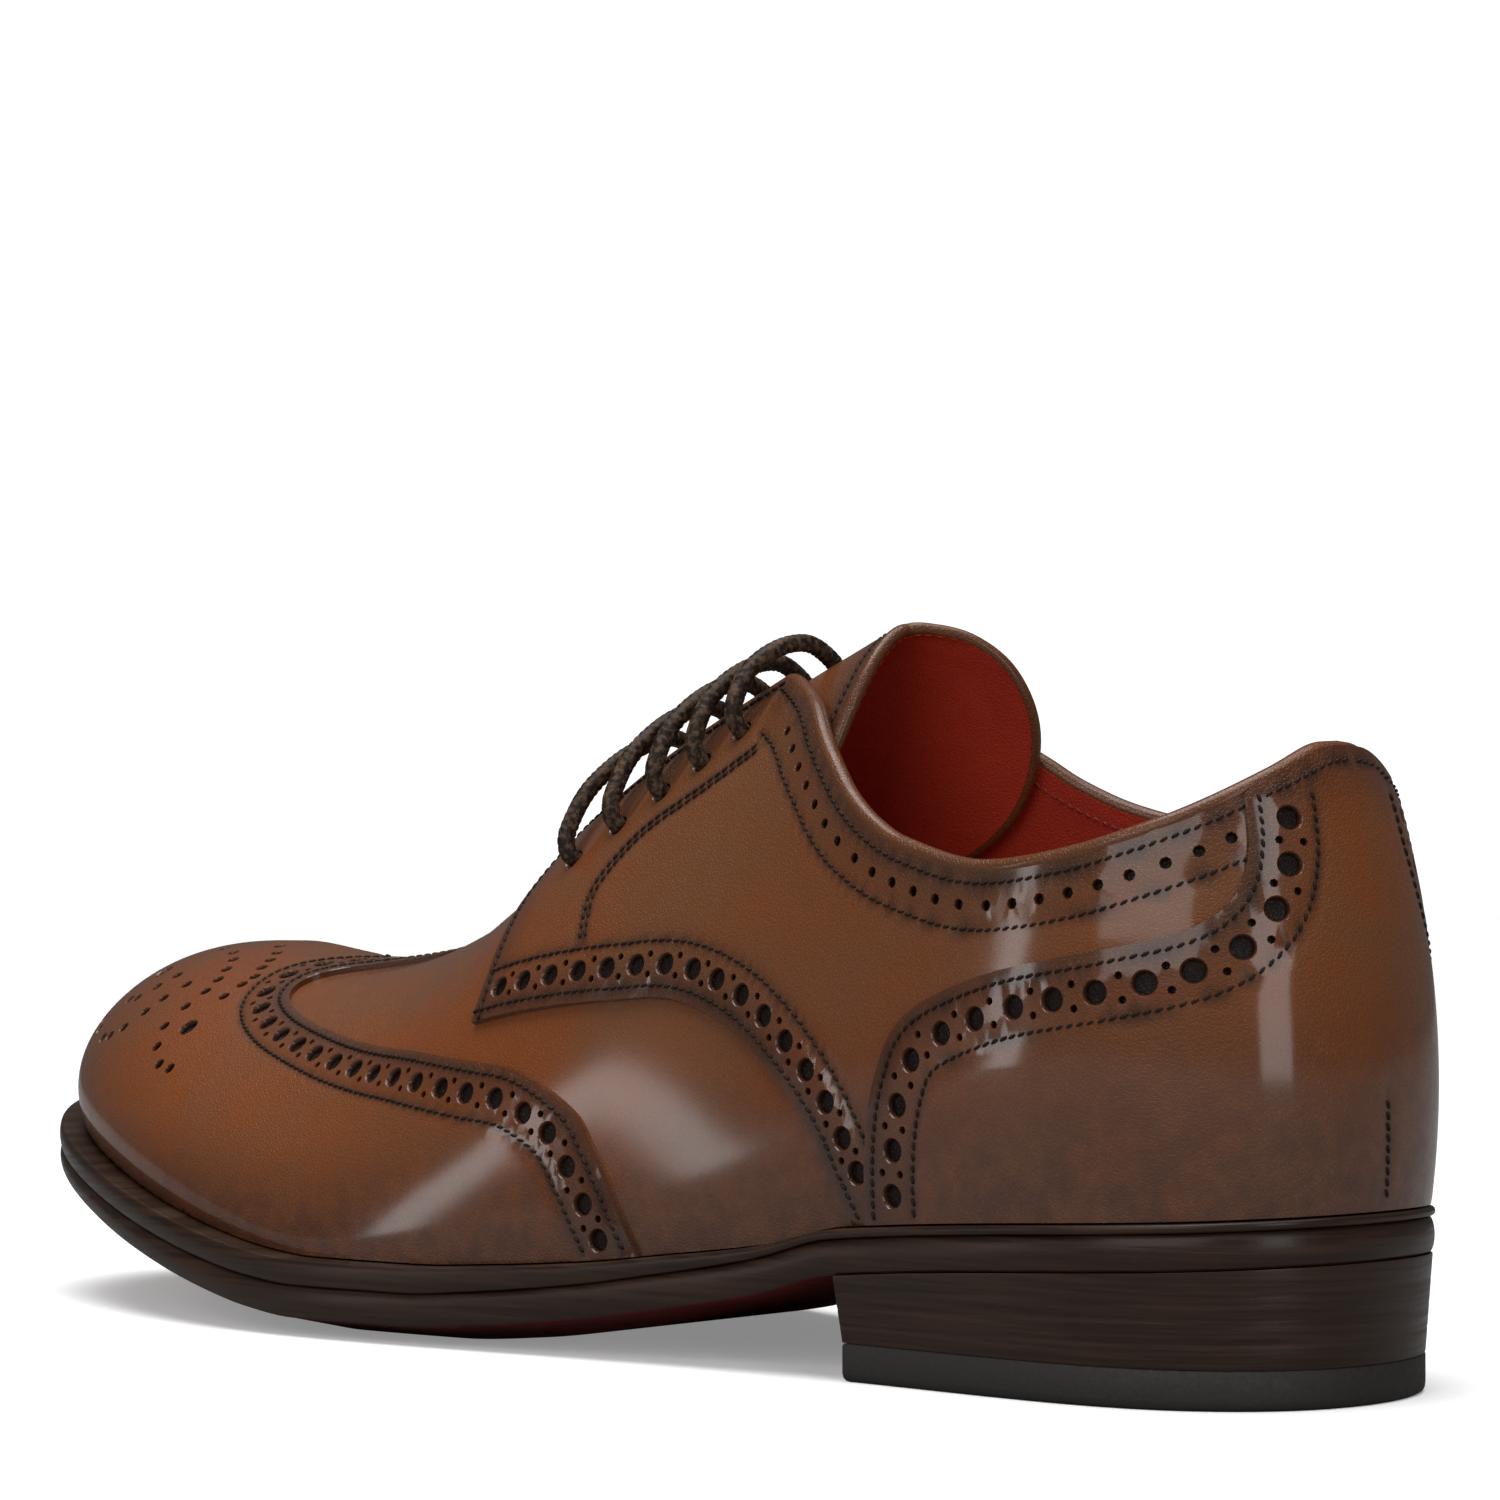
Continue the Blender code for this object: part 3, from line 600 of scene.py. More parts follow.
def stitch_shape():
    """One stitch, modelled once: a short rounded length of waxed thread."""
    bpy.ops.object.select_all(action="DESELECT")
    bpy.ops.mesh.primitive_uv_sphere_add(segments=6, ring_count=5, radius=1.0)
    shape = bpy.context.object
    bpy.ops.transform.resize(value=STITCH_SIZE)
    bpy.ops.object.transform_apply(location=False, rotation=False, scale=True)
    verts = np.array([tuple(v.co) for v in shape.data.vertices])
    long = STITCH_SIZE[0]
    verts[:, 0] = np.sign(verts[:, 0]) * long * (np.abs(verts[:, 0]) / long) ** 0.75
    faces = [tuple(p.vertices) for p in shape.data.polygons]
    bpy.data.objects.remove(shape, do_unlink=True)
    return verts, faces


STITCH = stitch_shape()


def sew(name, rows, material, slot="brown_leather"):
    """Rows of stitches along lines, each lying in its seat."""
    verts = []
    faces = []
    for half, line, offset in rows:
        line = half.even(line, STITCH_PITCH)
        points = half.at(line, offset)
        middle = (points[1:] + points[:-1]) / 2
        ahead = unit(points[1:] - points[:-1])
        normal = half.normal((line[1:] + line[:-1]) / 2)
        side = unit(np.cross(normal, ahead))
        rise = np.cross(ahead, side)
        shape, loops = STITCH
        for m, a, s, n in zip(middle, ahead, side, rise):
            start = len(verts)
            slanted = a * math.cos(STITCH_TILT) + s * math.sin(STITCH_TILT)
            beside = s * math.cos(STITCH_TILT) - a * math.sin(STITCH_TILT)
            verts.extend(m + shape[:, :1] * slanted + shape[:, 1:2] * beside + shape[:, 2:] * n)
            faces.extend([tuple(i + start for i in loop) for loop in loops])
    mesh = bpy.data.meshes.new(name)
    mesh.from_pydata([tuple(v) for v in verts], [], faces)
    mesh.shade_smooth()
    return keep(linked(name, mesh), material, slot)


def tube(name, points, radius, sides=12, wave=None, caps=True):
    """Round cord along points, with an optional wave on its radius."""
    points = np.asarray(points, float)
    ahead = unit(np.gradient(points, axis=0))
    side = np.cross(ahead[0], (0, 0, 1.0))
    if np.linalg.norm(side) < 0.1:
        side = np.cross(ahead[0], (1.0, 0, 0))
    side = unit(side)
    run = run_along(points)
    verts = []
    for i, (p, a) in enumerate(zip(points, ahead)):
        side = unit(side - a * side.dot(a))
        up = np.cross(a, side)
        for k in range(sides):
            turn = 2 * math.pi * k / sides
            size = radius + (wave(run[i], turn) if wave else 0.0)
            verts.append(tuple(p + (side * math.cos(turn) + up * math.sin(turn)) * size))
    faces = []
    for i in range(len(points) - 1):
        for k in range(sides):
            j = (k + 1) % sides
            faces.append((i * sides + k, i * sides + j, (i + 1) * sides + j, (i + 1) * sides + k))
    if caps:
        faces.append(tuple(range(sides))[::-1])
        faces.append(tuple(range((len(points) - 1) * sides, len(points) * sides)))
    mesh = bpy.data.meshes.new(name)
    mesh.from_pydata(verts, [], faces)
    mesh.shade_smooth()
    return linked(name, mesh)


# Shared pattern of the leather: fine grain, faint folds and slow changes of colour
def new_group(name, inputs, outputs):
    group = bpy.data.node_groups.new(name, "ShaderNodeTree")
    for socket, value in inputs:
        added = group.interface.new_socket(socket, in_out="INPUT", socket_type="NodeSocketFloat")
        added.default_value = value
    for socket in outputs:
        group.interface.new_socket(socket, in_out="OUTPUT", socket_type="NodeSocketFloat")
    return group, group.nodes.new("NodeGroupInput"), group.nodes.new("NodeGroupOutput")


def sums(net, operation, a, b, clamp=False):
    node = net.nodes.new("ShaderNodeMath")
    node.operation = operation
    node.use_clamp = clamp
    for socket, value in zip(node.inputs, (a, b)):
        if isinstance(value, (int, float)):
            socket.default_value = value
        else:
            net.links.new(value, socket)
    return node.outputs[0]


def noise(net, place, scale, detail=3.0, rough=0.55, distortion=0.0):
    node = net.nodes.new("ShaderNodeTexNoise")
    node.inputs["Scale"].default_value = scale
    node.inputs["Detail"].default_value = detail
    node.inputs["Roughness"].default_value = rough
    node.inputs["Distortion"].default_value = distortion
    net.links.new(place, node.inputs["Vector"])
    return node.outputs["Fac"]


def ramp(net, value, low, high, to_low=0.0, to_high=1.0):
    node = net.nodes.new("ShaderNodeMapRange")
    node.interpolation_type = "SMOOTHSTEP"
    for name, amount in (("From Min", low), ("From Max", high), ("To Min", to_low), ("To Max", to_high)):
        node.inputs[name].default_value = amount
    net.links.new(value, node.inputs["Value"])
    return node.outputs["Result"]


def calf_group():
    """Grain height, polish marks and patina of smooth calf leather."""
    net, ins, outs = new_group("calf_grain", (("Pores", 1.0), ("Folds", 1.0)),
                               ("Height", "Patina", "Polish"))
    place = net.nodes.new("ShaderNodeTexCoord").outputs["Object"]
    cells = net.nodes.new("ShaderNodeTexVoronoi")
    cells.feature = "DISTANCE_TO_EDGE"
    cells.inputs["Scale"].default_value = 1500
    net.links.new(place, cells.inputs["Vector"])
    pores = ramp(net, cells.outputs["Distance"], 0.0, 0.22)
    fine = noise(net, place, 2600, 2)
    folds = noise(net, place, 130, 5, 0.6, 0.6)
    height = sums(net, "MULTIPLY", pores, ins.outputs["Pores"])
    height = sums(net, "ADD", height, sums(net, "MULTIPLY", fine, 0.5))
    wide = sums(net, "MULTIPLY", sums(net, "MULTIPLY", folds, ins.outputs["Folds"]), 3.0)
    net.links.new(sums(net, "ADD", height, wide), outs.inputs["Height"])
    broad = noise(net, place, 16, 3, 0.5, 0.8)
    patchy = noise(net, place, 70, 4, 0.6)
    mixed = sums(net, "ADD", sums(net, "MULTIPLY", broad, 0.7),
                 sums(net, "MULTIPLY", patchy, 0.3))
    net.links.new(ramp(net, mixed, 0.36, 0.66), outs.inputs["Patina"])
    net.links.new(noise(net, place, 240, 4, 0.6), outs.inputs["Polish"])
    return net


CALF = calf_group()


def start_material(name):
    material = bpy.data.materials.new(name)
    material.use_nodes = True
    net = material.node_tree
    return material, net, net.nodes["Principled BSDF"]


def blend(net, share, a, b):
    node = net.nodes.new("ShaderNodeMix")
    node.data_type = "RGBA"
    for socket, value in ((node.inputs[0], share), (node.inputs[6], a), (node.inputs[7], b)):
        if isinstance(value, tuple):
            socket.default_value = (*value, 1.0)
        elif isinstance(value, (int, float)):
            socket.default_value = value
        else:
            net.links.new(value, socket)
    return node.outputs[2]


def stored(net, name):
    node = net.nodes.new("ShaderNodeAttribute")
    node.attribute_name = name
    return node.outputs["Fac"]


def bump(net, shader, height, distance, strength=1.0):
    node = net.nodes.new("ShaderNodeBump")
    node.inputs["Strength"].default_value = strength
    node.inputs["Distance"].default_value = distance
    net.links.new(height, node.inputs["Height"])
    net.links.new(node.outputs["Normal"], shader.inputs["Normal"])


# With its last flag on, the leather gets painted shade towards the sole, in the stitch grooves and in the
# holes, plus darker burnished panel edges and a darker toe.
def leather(name, base, warm, dark, rough=0.40, coat=0.85, pores=1.0, folds=1.0, depth=0.00006, shade_and_burnish=True):
    material, net, shader = start_material(name)
    grain = net.nodes.new("ShaderNodeGroup")
    grain.node_tree = CALF
    grain.inputs["Pores"].default_value = pores
    grain.inputs["Folds"].default_value = folds
    colour = blend(net, grain.outputs["Patina"], base, warm)
    if shade_and_burnish:
        # Painted shade: the leather darkens towards the sole, in patches from the polish noise. It also
        # darkens towards the toe tip.
        low = ramp(net, stored(net, "up"), 0.0, 0.24, 0.80, 0.0)
        toe = ramp(net, stored(net, "toe"), 0.0, 1.0, 0.0, 0.45)
        low_shade_and_toe = sums(net, "MAXIMUM", low, toe)
        mottled = sums(net, "MULTIPLY", grain.outputs["Polish"], 1.6, True)
        colour = blend(net, sums(net, "MULTIPLY", low_shade_and_toe, mottled, True), colour, dark)
        colour = blend(net, sums(net, "MULTIPLY", stored(net, "rim"), 0.72), colour, dark)
        # Painted shade: the stitch grooves and the walls and floors of the punched holes are painted nearly
        # black.
        edge = sums(net, "MULTIPLY", stored(net, "seat"), 0.75)
        edge = sums(net, "MAXIMUM", edge, stored(net, "pit"))
        colour = blend(net, edge, colour, tuple(c * 0.18 for c in dark))
        open_skin = sums(net, "SUBTRACT", 1.0, stored(net, "pit"), True)
        net.links.new(sums(net, "MULTIPLY", open_skin, coat), shader.inputs["Coat Weight"])
    else:
        shader.inputs["Coat Weight"].default_value = coat
    net.links.new(colour, shader.inputs["Base Color"])
    net.links.new(ramp(net, grain.outputs["Polish"], 0.3, 0.7, rough - 0.07, rough + 0.09),
              shader.inputs["Roughness"])
    shader.inputs["Coat Roughness"].default_value = 0.11
    shader.inputs["Specular IOR Level"].default_value = 0.22
    bump(net, shader, grain.outputs["Height"], depth)
    return material


BROWN = (0.160, 0.054, 0.016)
WARM = (0.200, 0.048, 0.005)
DARK = (0.050, 0.016, 0.006)


def edge_material(name, red_below):
    """Stacked and burnished sole edge: thin dark layers with wax streaks, red underneath."""
    material, net, shader = start_material(name)
    place = net.nodes.new("ShaderNodeTexCoord").outputs["Object"]
    squeeze = net.nodes.new("ShaderNodeMapping")
    squeeze.inputs["Scale"].default_value = (1.0, 1.0, 34.0)
    net.links.new(place, squeeze.inputs["Vector"])
    layers = noise(net, squeeze.outputs["Vector"], 36, 4, 0.6)
    marks = noise(net, place, 420, 4, 0.6)
    colour = blend(net, ramp(net, layers, 0.35, 0.7), (0.018, 0.008, 0.004), (0.038, 0.017, 0.008))
    colour = blend(net, ramp(net, marks, 0.62, 0.8, 0.0, 0.4), colour, (0.042, 0.021, 0.011))
    if red_below:
        turned = net.nodes.new("ShaderNodeSeparateXYZ")
        net.links.new(net.nodes.new("ShaderNodeTexCoord").outputs["Normal"], turned.inputs["Vector"])
        under_share = ramp(net, turned.outputs["Z"], -0.95, -0.80, 1.0, 0.0)
        colour = blend(net, under_share, colour, (0.16, 0.012, 0.006))
    net.links.new(colour, shader.inputs["Base Color"])
    net.links.new(ramp(net, layers, 0.3, 0.7, 0.30, 0.48), shader.inputs["Roughness"])
    shader.inputs["Coat Weight"].default_value = 0.12
    shader.inputs["Coat Roughness"].default_value = 0.20
    shader.inputs["Specular IOR Level"].default_value = 0.25
    height = sums(net, "ADD", layers, sums(net, "MULTIPLY", marks, 0.6))
    bump(net, shader, height, 0.00009)
    return material


def rubber_material():
    material, net, shader = start_material("heel_rubber_worn")
    place = net.nodes.new("ShaderNodeTexCoord").outputs["Object"]
    grit = noise(net, place, 900, 5, 0.65)
    colour = blend(net, grit, (0.010, 0.008, 0.007), (0.026, 0.020, 0.017))
    net.links.new(colour, shader.inputs["Base Color"])
    net.links.new(ramp(net, grit, 0.3, 0.7, 0.5, 0.75), shader.inputs["Roughness"])
    bump(net, shader, grit, 0.00012)
    return material


def thread_material(name, dark, light, scale=3000):
    material, net, shader = start_material(name)
    place = net.nodes.new("ShaderNodeTexCoord").outputs["Object"]
    twist = noise(net, place, scale, 3, 0.6)
    net.links.new(blend(net, ramp(net, twist, 0.42, 0.66), dark, light), shader.inputs["Base Color"])
    shader.inputs["Specular IOR Level"].default_value = 0.2
    net.links.new(ramp(net, twist, 0.3, 0.7, 0.45, 0.7), shader.inputs["Roughness"])
    bump(net, shader, twist, 0.00008)
    return material


CALF_BROWN = leather("brown_calf", BROWN, WARM, DARK)
LINING = leather("red_lining_leather", (0.34, 0.026, 0.012), (0.42, 0.036, 0.014), (0.15, 0.012, 0.008),
                 rough=0.52, coat=0.05, depth=0.00005, shade_and_burnish=False)
RIM = leather("rim_leather", (0.105, 0.036, 0.012), (0.15, 0.048, 0.014), DARK, rough=0.34, coat=0.3,
              shade_and_burnish=False)
BURNISHED = edge_material("burnished_edge", False)
TREAD = edge_material("burnished_outsole", True)
RUBBER = rubber_material()
THREAD = thread_material("brown_thread", (0.009, 0.004, 0.002), (0.030, 0.012, 0.005))
RED_THREAD = thread_material("red_thread", (0.20, 0.02, 0.015), (0.33, 0.05, 0.035))
CORD = thread_material("waxed_lace", (0.014, 0.007, 0.004), (0.105, 0.062, 0.036), 900)


# Camera first
camera_data = bpy.data.cameras.new("view")
camera_data.sensor_width = 36
camera_data.lens = 97.97
camera_data.shift_y = 0.0946
camera_data.clip_end = 50
camera = bpy.data.objects.new("view", camera_data)
bpy.context.scene.collection.objects.link(camera)
camera.location = (-0.3827, 0.5077, 0.076)
facing_way = Vector((math.sin(math.radians(43)), -math.cos(math.radians(43)), 0))
camera.rotation_euler = facing_way.to_track_quat("-Z", "Y").to_euler()
bpy.context.scene.camera = camera

SIDES = ((OUTER, COLLAR_OUTER), (INNER, COLLAR_INNER))
HALVES = (OUTER, INNER)


# Upper: the vamp's leather outside and the red lining inside
def upper_outline(half, collar, spacing=0.0015):
    edge = np.vstack([smooth_line(FACING), smooth_line(collar)[1:]])
    edge = half.even(edge, spacing)
    return joined(straight((0, 0), (1, 0), 200), straight((1, 0), (1, 1), 60),
                  straight((1, 1), (0.59, 1), 80), edge, straight((0, 0.398), (0, 0), 24))


VAMP_FOLDS = (
    (((0.650, 0.350), (0.655, 0.520), (0.648, 0.700), (0.640, 1.000)), -0.00016, 0.0036),
    (((0.622, 0.330), (0.622, 0.500), (0.618, 0.700), (0.614, 1.000)), 0.00012, 0.0036),
    (((0.598, 0.320), (0.596, 0.480), (0.594, 0.650), (0.592, 0.900)), -0.00014, 0.0036),
)


vamp_sides = [(half, upper_outline(half, collar), [], [], []) for half, collar in SIDES]
keep(build_panel("vamp", vamp_sides, 0.0, -0.0010, 0.0019, folds=VAMP_FOLDS), CALF_BROWN,
     "brown_leather", "upper")

sides = []
lining_rows = []
for half, collar in SIDES:
    top_line = smooth_line(collar)
    seat = half.beside(top_line, -0.0030)
    lining_rows.append((half, seat, -UPPER_WALL - 0.0001))
    sides.append((half, upper_outline(half, collar), [], [seat], []))
keep(build_panel("lining", sides, -UPPER_WALL, -0.0010, 0.0021, flip=True), LINING, "red_lining")
sew("lining_stitches", lining_rows, RED_THREAD, "red_lining")


# Quarters: brogued lower band, facings with blind eyelets, collar band
def quarter_outline(half, collar):
    front = np.vstack([smooth_line(QUARTER_SIDE), smooth_line(QUARTER_FRONT)[1:]])
    facing = smooth_line(FACING)
    facing = facing[facing[:, 0] < QUARTER_FRONT[-1][0] - 0.004]
    edge = half.even(np.vstack([front, facing, smooth_line(collar)[1:]]), 0.0008)
    return edge, joined(straight((0, 0), (0.273, 0), 60), edge, straight((0, 0.398), (0, 0), 24))


def part_of(line, start, end):
    count = len(line) - 1
    return line[int(start * count):int(end * count) + 1]


quarter_sides = []
quarter_rows = []
for half, collar in SIDES:
    edge, outline = quarter_outline(half, collar)
    lower = smooth_line(QUARTER_SIDE)
    facing = smooth_line(FACING)
    front = np.vstack([smooth_line(QUARTER_FRONT), facing[facing[:, 0] < 0.541]])
    top_line = smooth_line(collar)
    rows = [half.beside(lower, -0.0019), part_of(half.beside(lower, -0.0098), 0.0, 0.985)]
    rows.append(half.beside(front, -0.0017))
    rows.append(part_of(half.beside(top_line, -0.0024), 0.02, 1.0))
    rows.append(part_of(half.beside(top_line, -0.0094), 0.06, 1.0))
    facing_seam = smooth_line(((0.471, 0.436), (0.475, 0.480), (0.476, 0.540), (0.456, 0.606),
                               (0.420, 0.640), (0.383, 0.672)))
    rows += [half.beside(facing_seam, d) for d in (-0.0006, 0.0006)]
    holes = punched(half, half.beside(lower, -0.0056), 0.0066, BIG_HOLE, SMALL_HOLE, PAIR_SPREAD, 0.006)
    collar_line = half.beside(top_line, -0.0058)
    holes += punched(half, part_of(collar_line, 0.10, 0.985), 0.0050, 0.00085, None, skip=0.001)
    holes += [(np.array(e), 0.0019) for e in EYELETS]
    quarter_sides.append((half, outline, holes, rows, [edge]))
    quarter_rows += [(half, row, PANEL_TOP - STITCH_SINK) for row in rows]
pulls = [(((a - 0.003, t + 0.02), (a - 0.006, t + 0.07), (a - 0.009, t + 0.12)), -EYELET_PULL, 0.0018)
         for a, t in EYELETS]
keep(build_panel("quarter_panels", quarter_sides, PANEL_TOP, PANEL_LOW, PANEL_MESH, folds=pulls), CALF_BROWN,
     "brown_leather", "quarters")
sew("quarter_stitches", quarter_rows, THREAD)

# Wing cap with its band and the punched pattern on the toe
SMALL_MEDAL = (
    (0.940, 0.692), (0.912, 0.742), (0.884, 0.742), (0.864, 0.717), (0.848, 0.675), (0.836, 0.633),
    (0.828, 0.583), (0.852, 0.575), (0.876, 0.583), (0.876, 0.525), (0.852, 0.508), (0.824, 0.517),
    (0.808, 0.592), (0.812, 0.650), (0.816, 0.692), (0.828, 0.733), (0.840, 0.775), (0.856, 0.817),
    (0.880, 0.858), (0.820, 0.442), (0.808, 0.383), (0.792, 0.342), (0.780, 0.342), (0.852, 0.450),
    (0.856, 0.383), (0.864, 0.342), (0.872, 0.325), (0.892, 0.333), (0.904, 0.358), (0.888, 0.450),
    (0.880, 0.467), (0.912, 0.467), (0.924, 0.533), (0.936, 0.617),
)
BIG_MEDAL = ((0.800, 0.467), (0.904, 0.567))
wing_sides = []
wing_rows = []
for half in HALVES:
    wing = half.even(smooth_line(WING), 0.0008)
    outline = joined(straight((0.405, 0), (1, 0), 200), straight((1, 0), (1, 1), 60),
                     straight((1, 1), (0.706, 1), 60), wing[::-1])
    rows = [half.beside(wing, 0.0018), part_of(half.beside(wing, 0.0094), 0.0, 0.985)]
    rows = [r[(r[:, 1] < 0.995) & (r[:, 1] > 0.004)] for r in rows]
    holes = punched(half, half.beside(wing, 0.0054), 0.0068, BIG_HOLE, SMALL_HOLE, PAIR_SPREAD, 0.004)
    holes = [(c, r) for c, r in holes if c[1] < 0.985 and c[0] < 0.985]
    holes += [(np.array(p), 0.00105) for p in SMALL_MEDAL]
    holes += [(np.array(p), 0.00185) for p in BIG_MEDAL]
    wing_sides.append((half, outline, holes, rows, [wing]))
    wing_rows += [(half, row, PANEL_TOP - STITCH_SINK) for row in rows]
keep(build_panel("wing_cap_panel", wing_sides, PANEL_TOP, PANEL_LOW, PANEL_MESH), CALF_BROWN,
     "brown_leather", "wing_cap")
sew("wing_stitches", wing_rows, THREAD)

# Heel counter on the quarters
counter_sides = []
counter_rows = []
for half, collar in SIDES:
    cut = half.even(smooth_line(COUNTER), 0.0008)
    back = smooth_line(collar)
    back = half.even(back[back[:, 0] < COUNTER[-1][0] - 0.004], 0.0008)
    outline = joined(straight((0, 0), (0.262, 0), 60), cut, back, straight((0, 0.398), (0, 0), 24))
    rows = [half.beside(cut, -0.0019), half.beside(cut, -0.0102), half.beside(back, -0.0024)]
    rows = [r[(r[:, 1] > 0.004) & (r[:, 0] > 0.002)] for r in rows]
    if half is OUTER:
        rows.append(straight((0.006, 0.092), (0.004, 0.012), 20))
    holes = punched(half, half.beside(cut, -0.0060), 0.0070, BIG_HOLE, SMALL_HOLE, 0.0018, 0.004)
    holes = [(c, r) for c, r in holes if c[0] > 0.012]
    counter_sides.append((half, outline, holes, rows, [cut, back]))
    counter_rows += [(half, row, COUNTER_TOP - STITCH_SINK) for row in rows]
keep(build_panel("counter_panel", counter_sides, COUNTER_TOP, PANEL_TOP - 0.0003, PANEL_MESH), CALF_BROWN,
     "brown_leather", "heel_counter")
sew("counter_stitches", counter_rows, THREAD)

# Rolled edge along the collar, and along the facings
rim_line = []
for half, collar in SIDES:
    line = half.even(np.vstack([smooth_line(FACING)[-20:], smooth_line(collar)[1:]]), 0.0012)
    points = half.at(line, -0.0002)
    rim_line.append(points)
rim_points = np.vstack([rim_line[0], rim_line[1][::-1][1:]])
keep(tube("collar_bead", rim_points, 0.00150, 12), RIM, "brown_leather")


# Tongue with its lining and a turned rim
def tongue_outline(half):
    edge = half.even(smooth_line(TONGUE_INNER if half.inner else TONGUE), 0.0012)
    return edge, joined(edge, straight((0.330, 1), (0.645, 1), 70))


tongue_sides = []
tongue_rows = []
for half in HALVES:
    edge, outline = tongue_outline(half)
    row = half.beside(edge, 0.0028)
    row = row[(row[:, 0] < 0.42) & (row[:, 1] < 0.995)]
    tongue_sides.append((half, outline, [], [row], [edge]))
    tongue_rows.append((half, row, -0.00252))
keep(build_panel("tongue_leather", tongue_sides, -0.0024, -0.0034, 0.0018), CALF_BROWN,
     "brown_leather", "tongue")
keep(build_panel("tongue_lining", [(h, o, [], r, e) for h, o, _, r, e in tongue_sides], -0.0044, -0.0034,
                 0.0020, flip=True), LINING, "red_lining")
sew("tongue_stitches", tongue_rows, THREAD)
tongue_rim = []
for half in HALVES:
    edge = half.even(smooth_line(TONGUE_INNER if half.inner else TONGUE), 0.0014)
    tongue_rim.append(half.at(edge[edge[:, 0] < 0.40], -0.0034))
top = np.vstack([tongue_rim[0], tongue_rim[1][::-1][1:]])
keep(tube("tongue_rim", top, 0.00115, 10), RIM, "brown_leather")


# Laces: one bar for each pair of eyelets, out of the outer and into the inner hole
LACE_ROWS = ((0.00, 0.50), (0.02, 1.02), (0.12, 1.55), (0.38, 1.85), (0.70, 1.60), (1.00, 1.35))


def lace_points(a, t):
    seat = 0.0011 + 2 * SEAM_GAP + LACE_DIAMETER / 2
    rows = [(0.0, -0.0002)] + [(share, seat * high) for share, high in LACE_ROWS]
    points = []
    for half, order in ((OUTER, rows), (INNER, rows[-2::-1])):
        chart = np.array([(a, t + (1 - t) * share) for share, _ in order])
        points.append(half.at(chart, np.array([o for _, o in order])))
    points = np.vstack(points)
    knots = run_along(points)
    fine = smooth_line(np.column_stack([points[:, 0], points[:, 1]]), 8)
    high = smooth_line(np.column_stack([knots, points[:, 2]]), 8)
    curve = np.column_stack([fine, high[:, 1]])
    run = run_along(curve)
    spots = np.arange(0, run[-1], 0.00045)
    return np.column_stack([np.interp(spots, run, curve[:, k]) for k in range(3)])


def braid(run, turn):
    """Height of a round braid's strands."""
    pitch = 0.0052
    one = math.cos(4 * (turn + 2 * math.pi * run / pitch))
    two = math.cos(4 * (turn - 2 * math.pi * run / pitch))
    return 0.00016 * max(one, two)


for number, (a, t) in enumerate(EYELETS, 1):
    keep(tube(f"lace_{number}", lace_points(a, t), LACE_DIAMETER / 2 - 0.0001, 20, braid), CORD,
         "waxed_cord", f"lace_bar_{number}")


# Sole: welt, outsole and heel as rings with rounded edges
SOLE_EDGE_ANGLE = math.radians(38)


def outline_ring(extra, height, count=360, margin=True):
    r = np.arange(count) * 2.0 / count
    foot, _, _, _, _, wide = rib(r)
    reach = extra + wide if margin else np.full(count, extra)
    plan = foot + outward(r) * reach[:, None]
    return shift(np.column_stack([plan, height(plan[:, 0], r)]))


def solid_piece(name, rings, walls, ends):
    """Object from rings of points, its wall faces and the faces that close its ends."""
    mesh = bpy.data.meshes.new(name)
    mesh.from_pydata([tuple(p) for ring in rings for p in ring], [], walls + ends)
    work = bmesh.new()
    work.from_mesh(mesh)
    bmesh.ops.recalc_face_normals(work, faces=work.faces)
    work.to_mesh(mesh)
    work.free()
    mesh.shade_smooth()
    mesh.set_sharp_from_angle(angle=SOLE_EDGE_ANGLE)
    return linked(name, mesh)


def rings_mesh(name, rings, wrap=False):
    """Rings round the whole sole, joined into a closed loop or closed by strips across."""
    count = len(rings[0])
    walls = []
    total = len(rings)
    for k in range(total if wrap else total - 1):
        low = k * count
        high = (k + 1) % total * count
        for i in range(count):
            j = (i + 1) % count
            walls.append((low + i, high + i, high + j, low + j))
    ends = []
    for base, flip in () if wrap else ((0, False), ((total - 1) * count, True)):
        for i in range(count // 2):
            corners = [base + i, base + i + 1, base + (count - i - 1), base + (count - i) % count]
            corners = list(dict.fromkeys(corners))
            if len(corners) > 2:
                ends.append(tuple(corners[::-1] if flip else corners))
    return solid_piece(name, rings, walls, ends)


def sole_top(x, r):
    return sole_height(x) + OUTSOLE_THICK


def welt_low(x, r):
    return sole_top(x, r) + SEAM_GAP / 3


def welt_high(x, r):
    return sole_top(x, r) + welt_thickness(r)


def rounded(inset, steps=5):
    """Insets and height shares of an edge that is rounded from bottom to top."""
    turn = np.linspace(-90, 90, 2 * steps + 1)
    return [(inset * (1 - math.cos(math.radians(a))), (1 + math.sin(math.radians(a))) / 2) for a in turn]


def between(low, high, share):
    return lambda x, r: low(x, r) * (1 - share) + high(x, r) * share


welt_rings = [outline_ring(-WELT_BED, welt_low, margin=False)]
for inset, share in rounded(0.0007):
    welt_rings.append(outline_ring(-inset, between(welt_low, welt_high, share)))
welt_rings.append(outline_ring(-0.0016, lambda x, r: welt_high(x, r) - 0.00012))
welt_rings.append(outline_ring(-0.0022, lambda x, r: welt_high(x, r) + 0.00002))
welt_rings.append(outline_ring(-WELT_BED, welt_high, margin=False))
keep(rings_mesh("welt_strip", welt_rings, wrap=True), BURNISHED, "edge_leather", "welt")


def under(x, r):
    return sole_height(x) + toe_thinning(x)


sole_rings = [outline_ring(-TREAD_INSET, lambda x, r: tread_height(x) + toe_thinning(x)),
              outline_ring(-0.0014, under)]
for inset, share in rounded(0.0009):
    sole_rings.append(outline_ring(-inset - 0.0001, between(under, sole_top, share)))
sole_rings.append(outline_ring(-WELT_BED, sole_top, margin=False))
keep(rings_mesh("outsole_leather", sole_rings), TREAD, "edge_leather", "outsole")


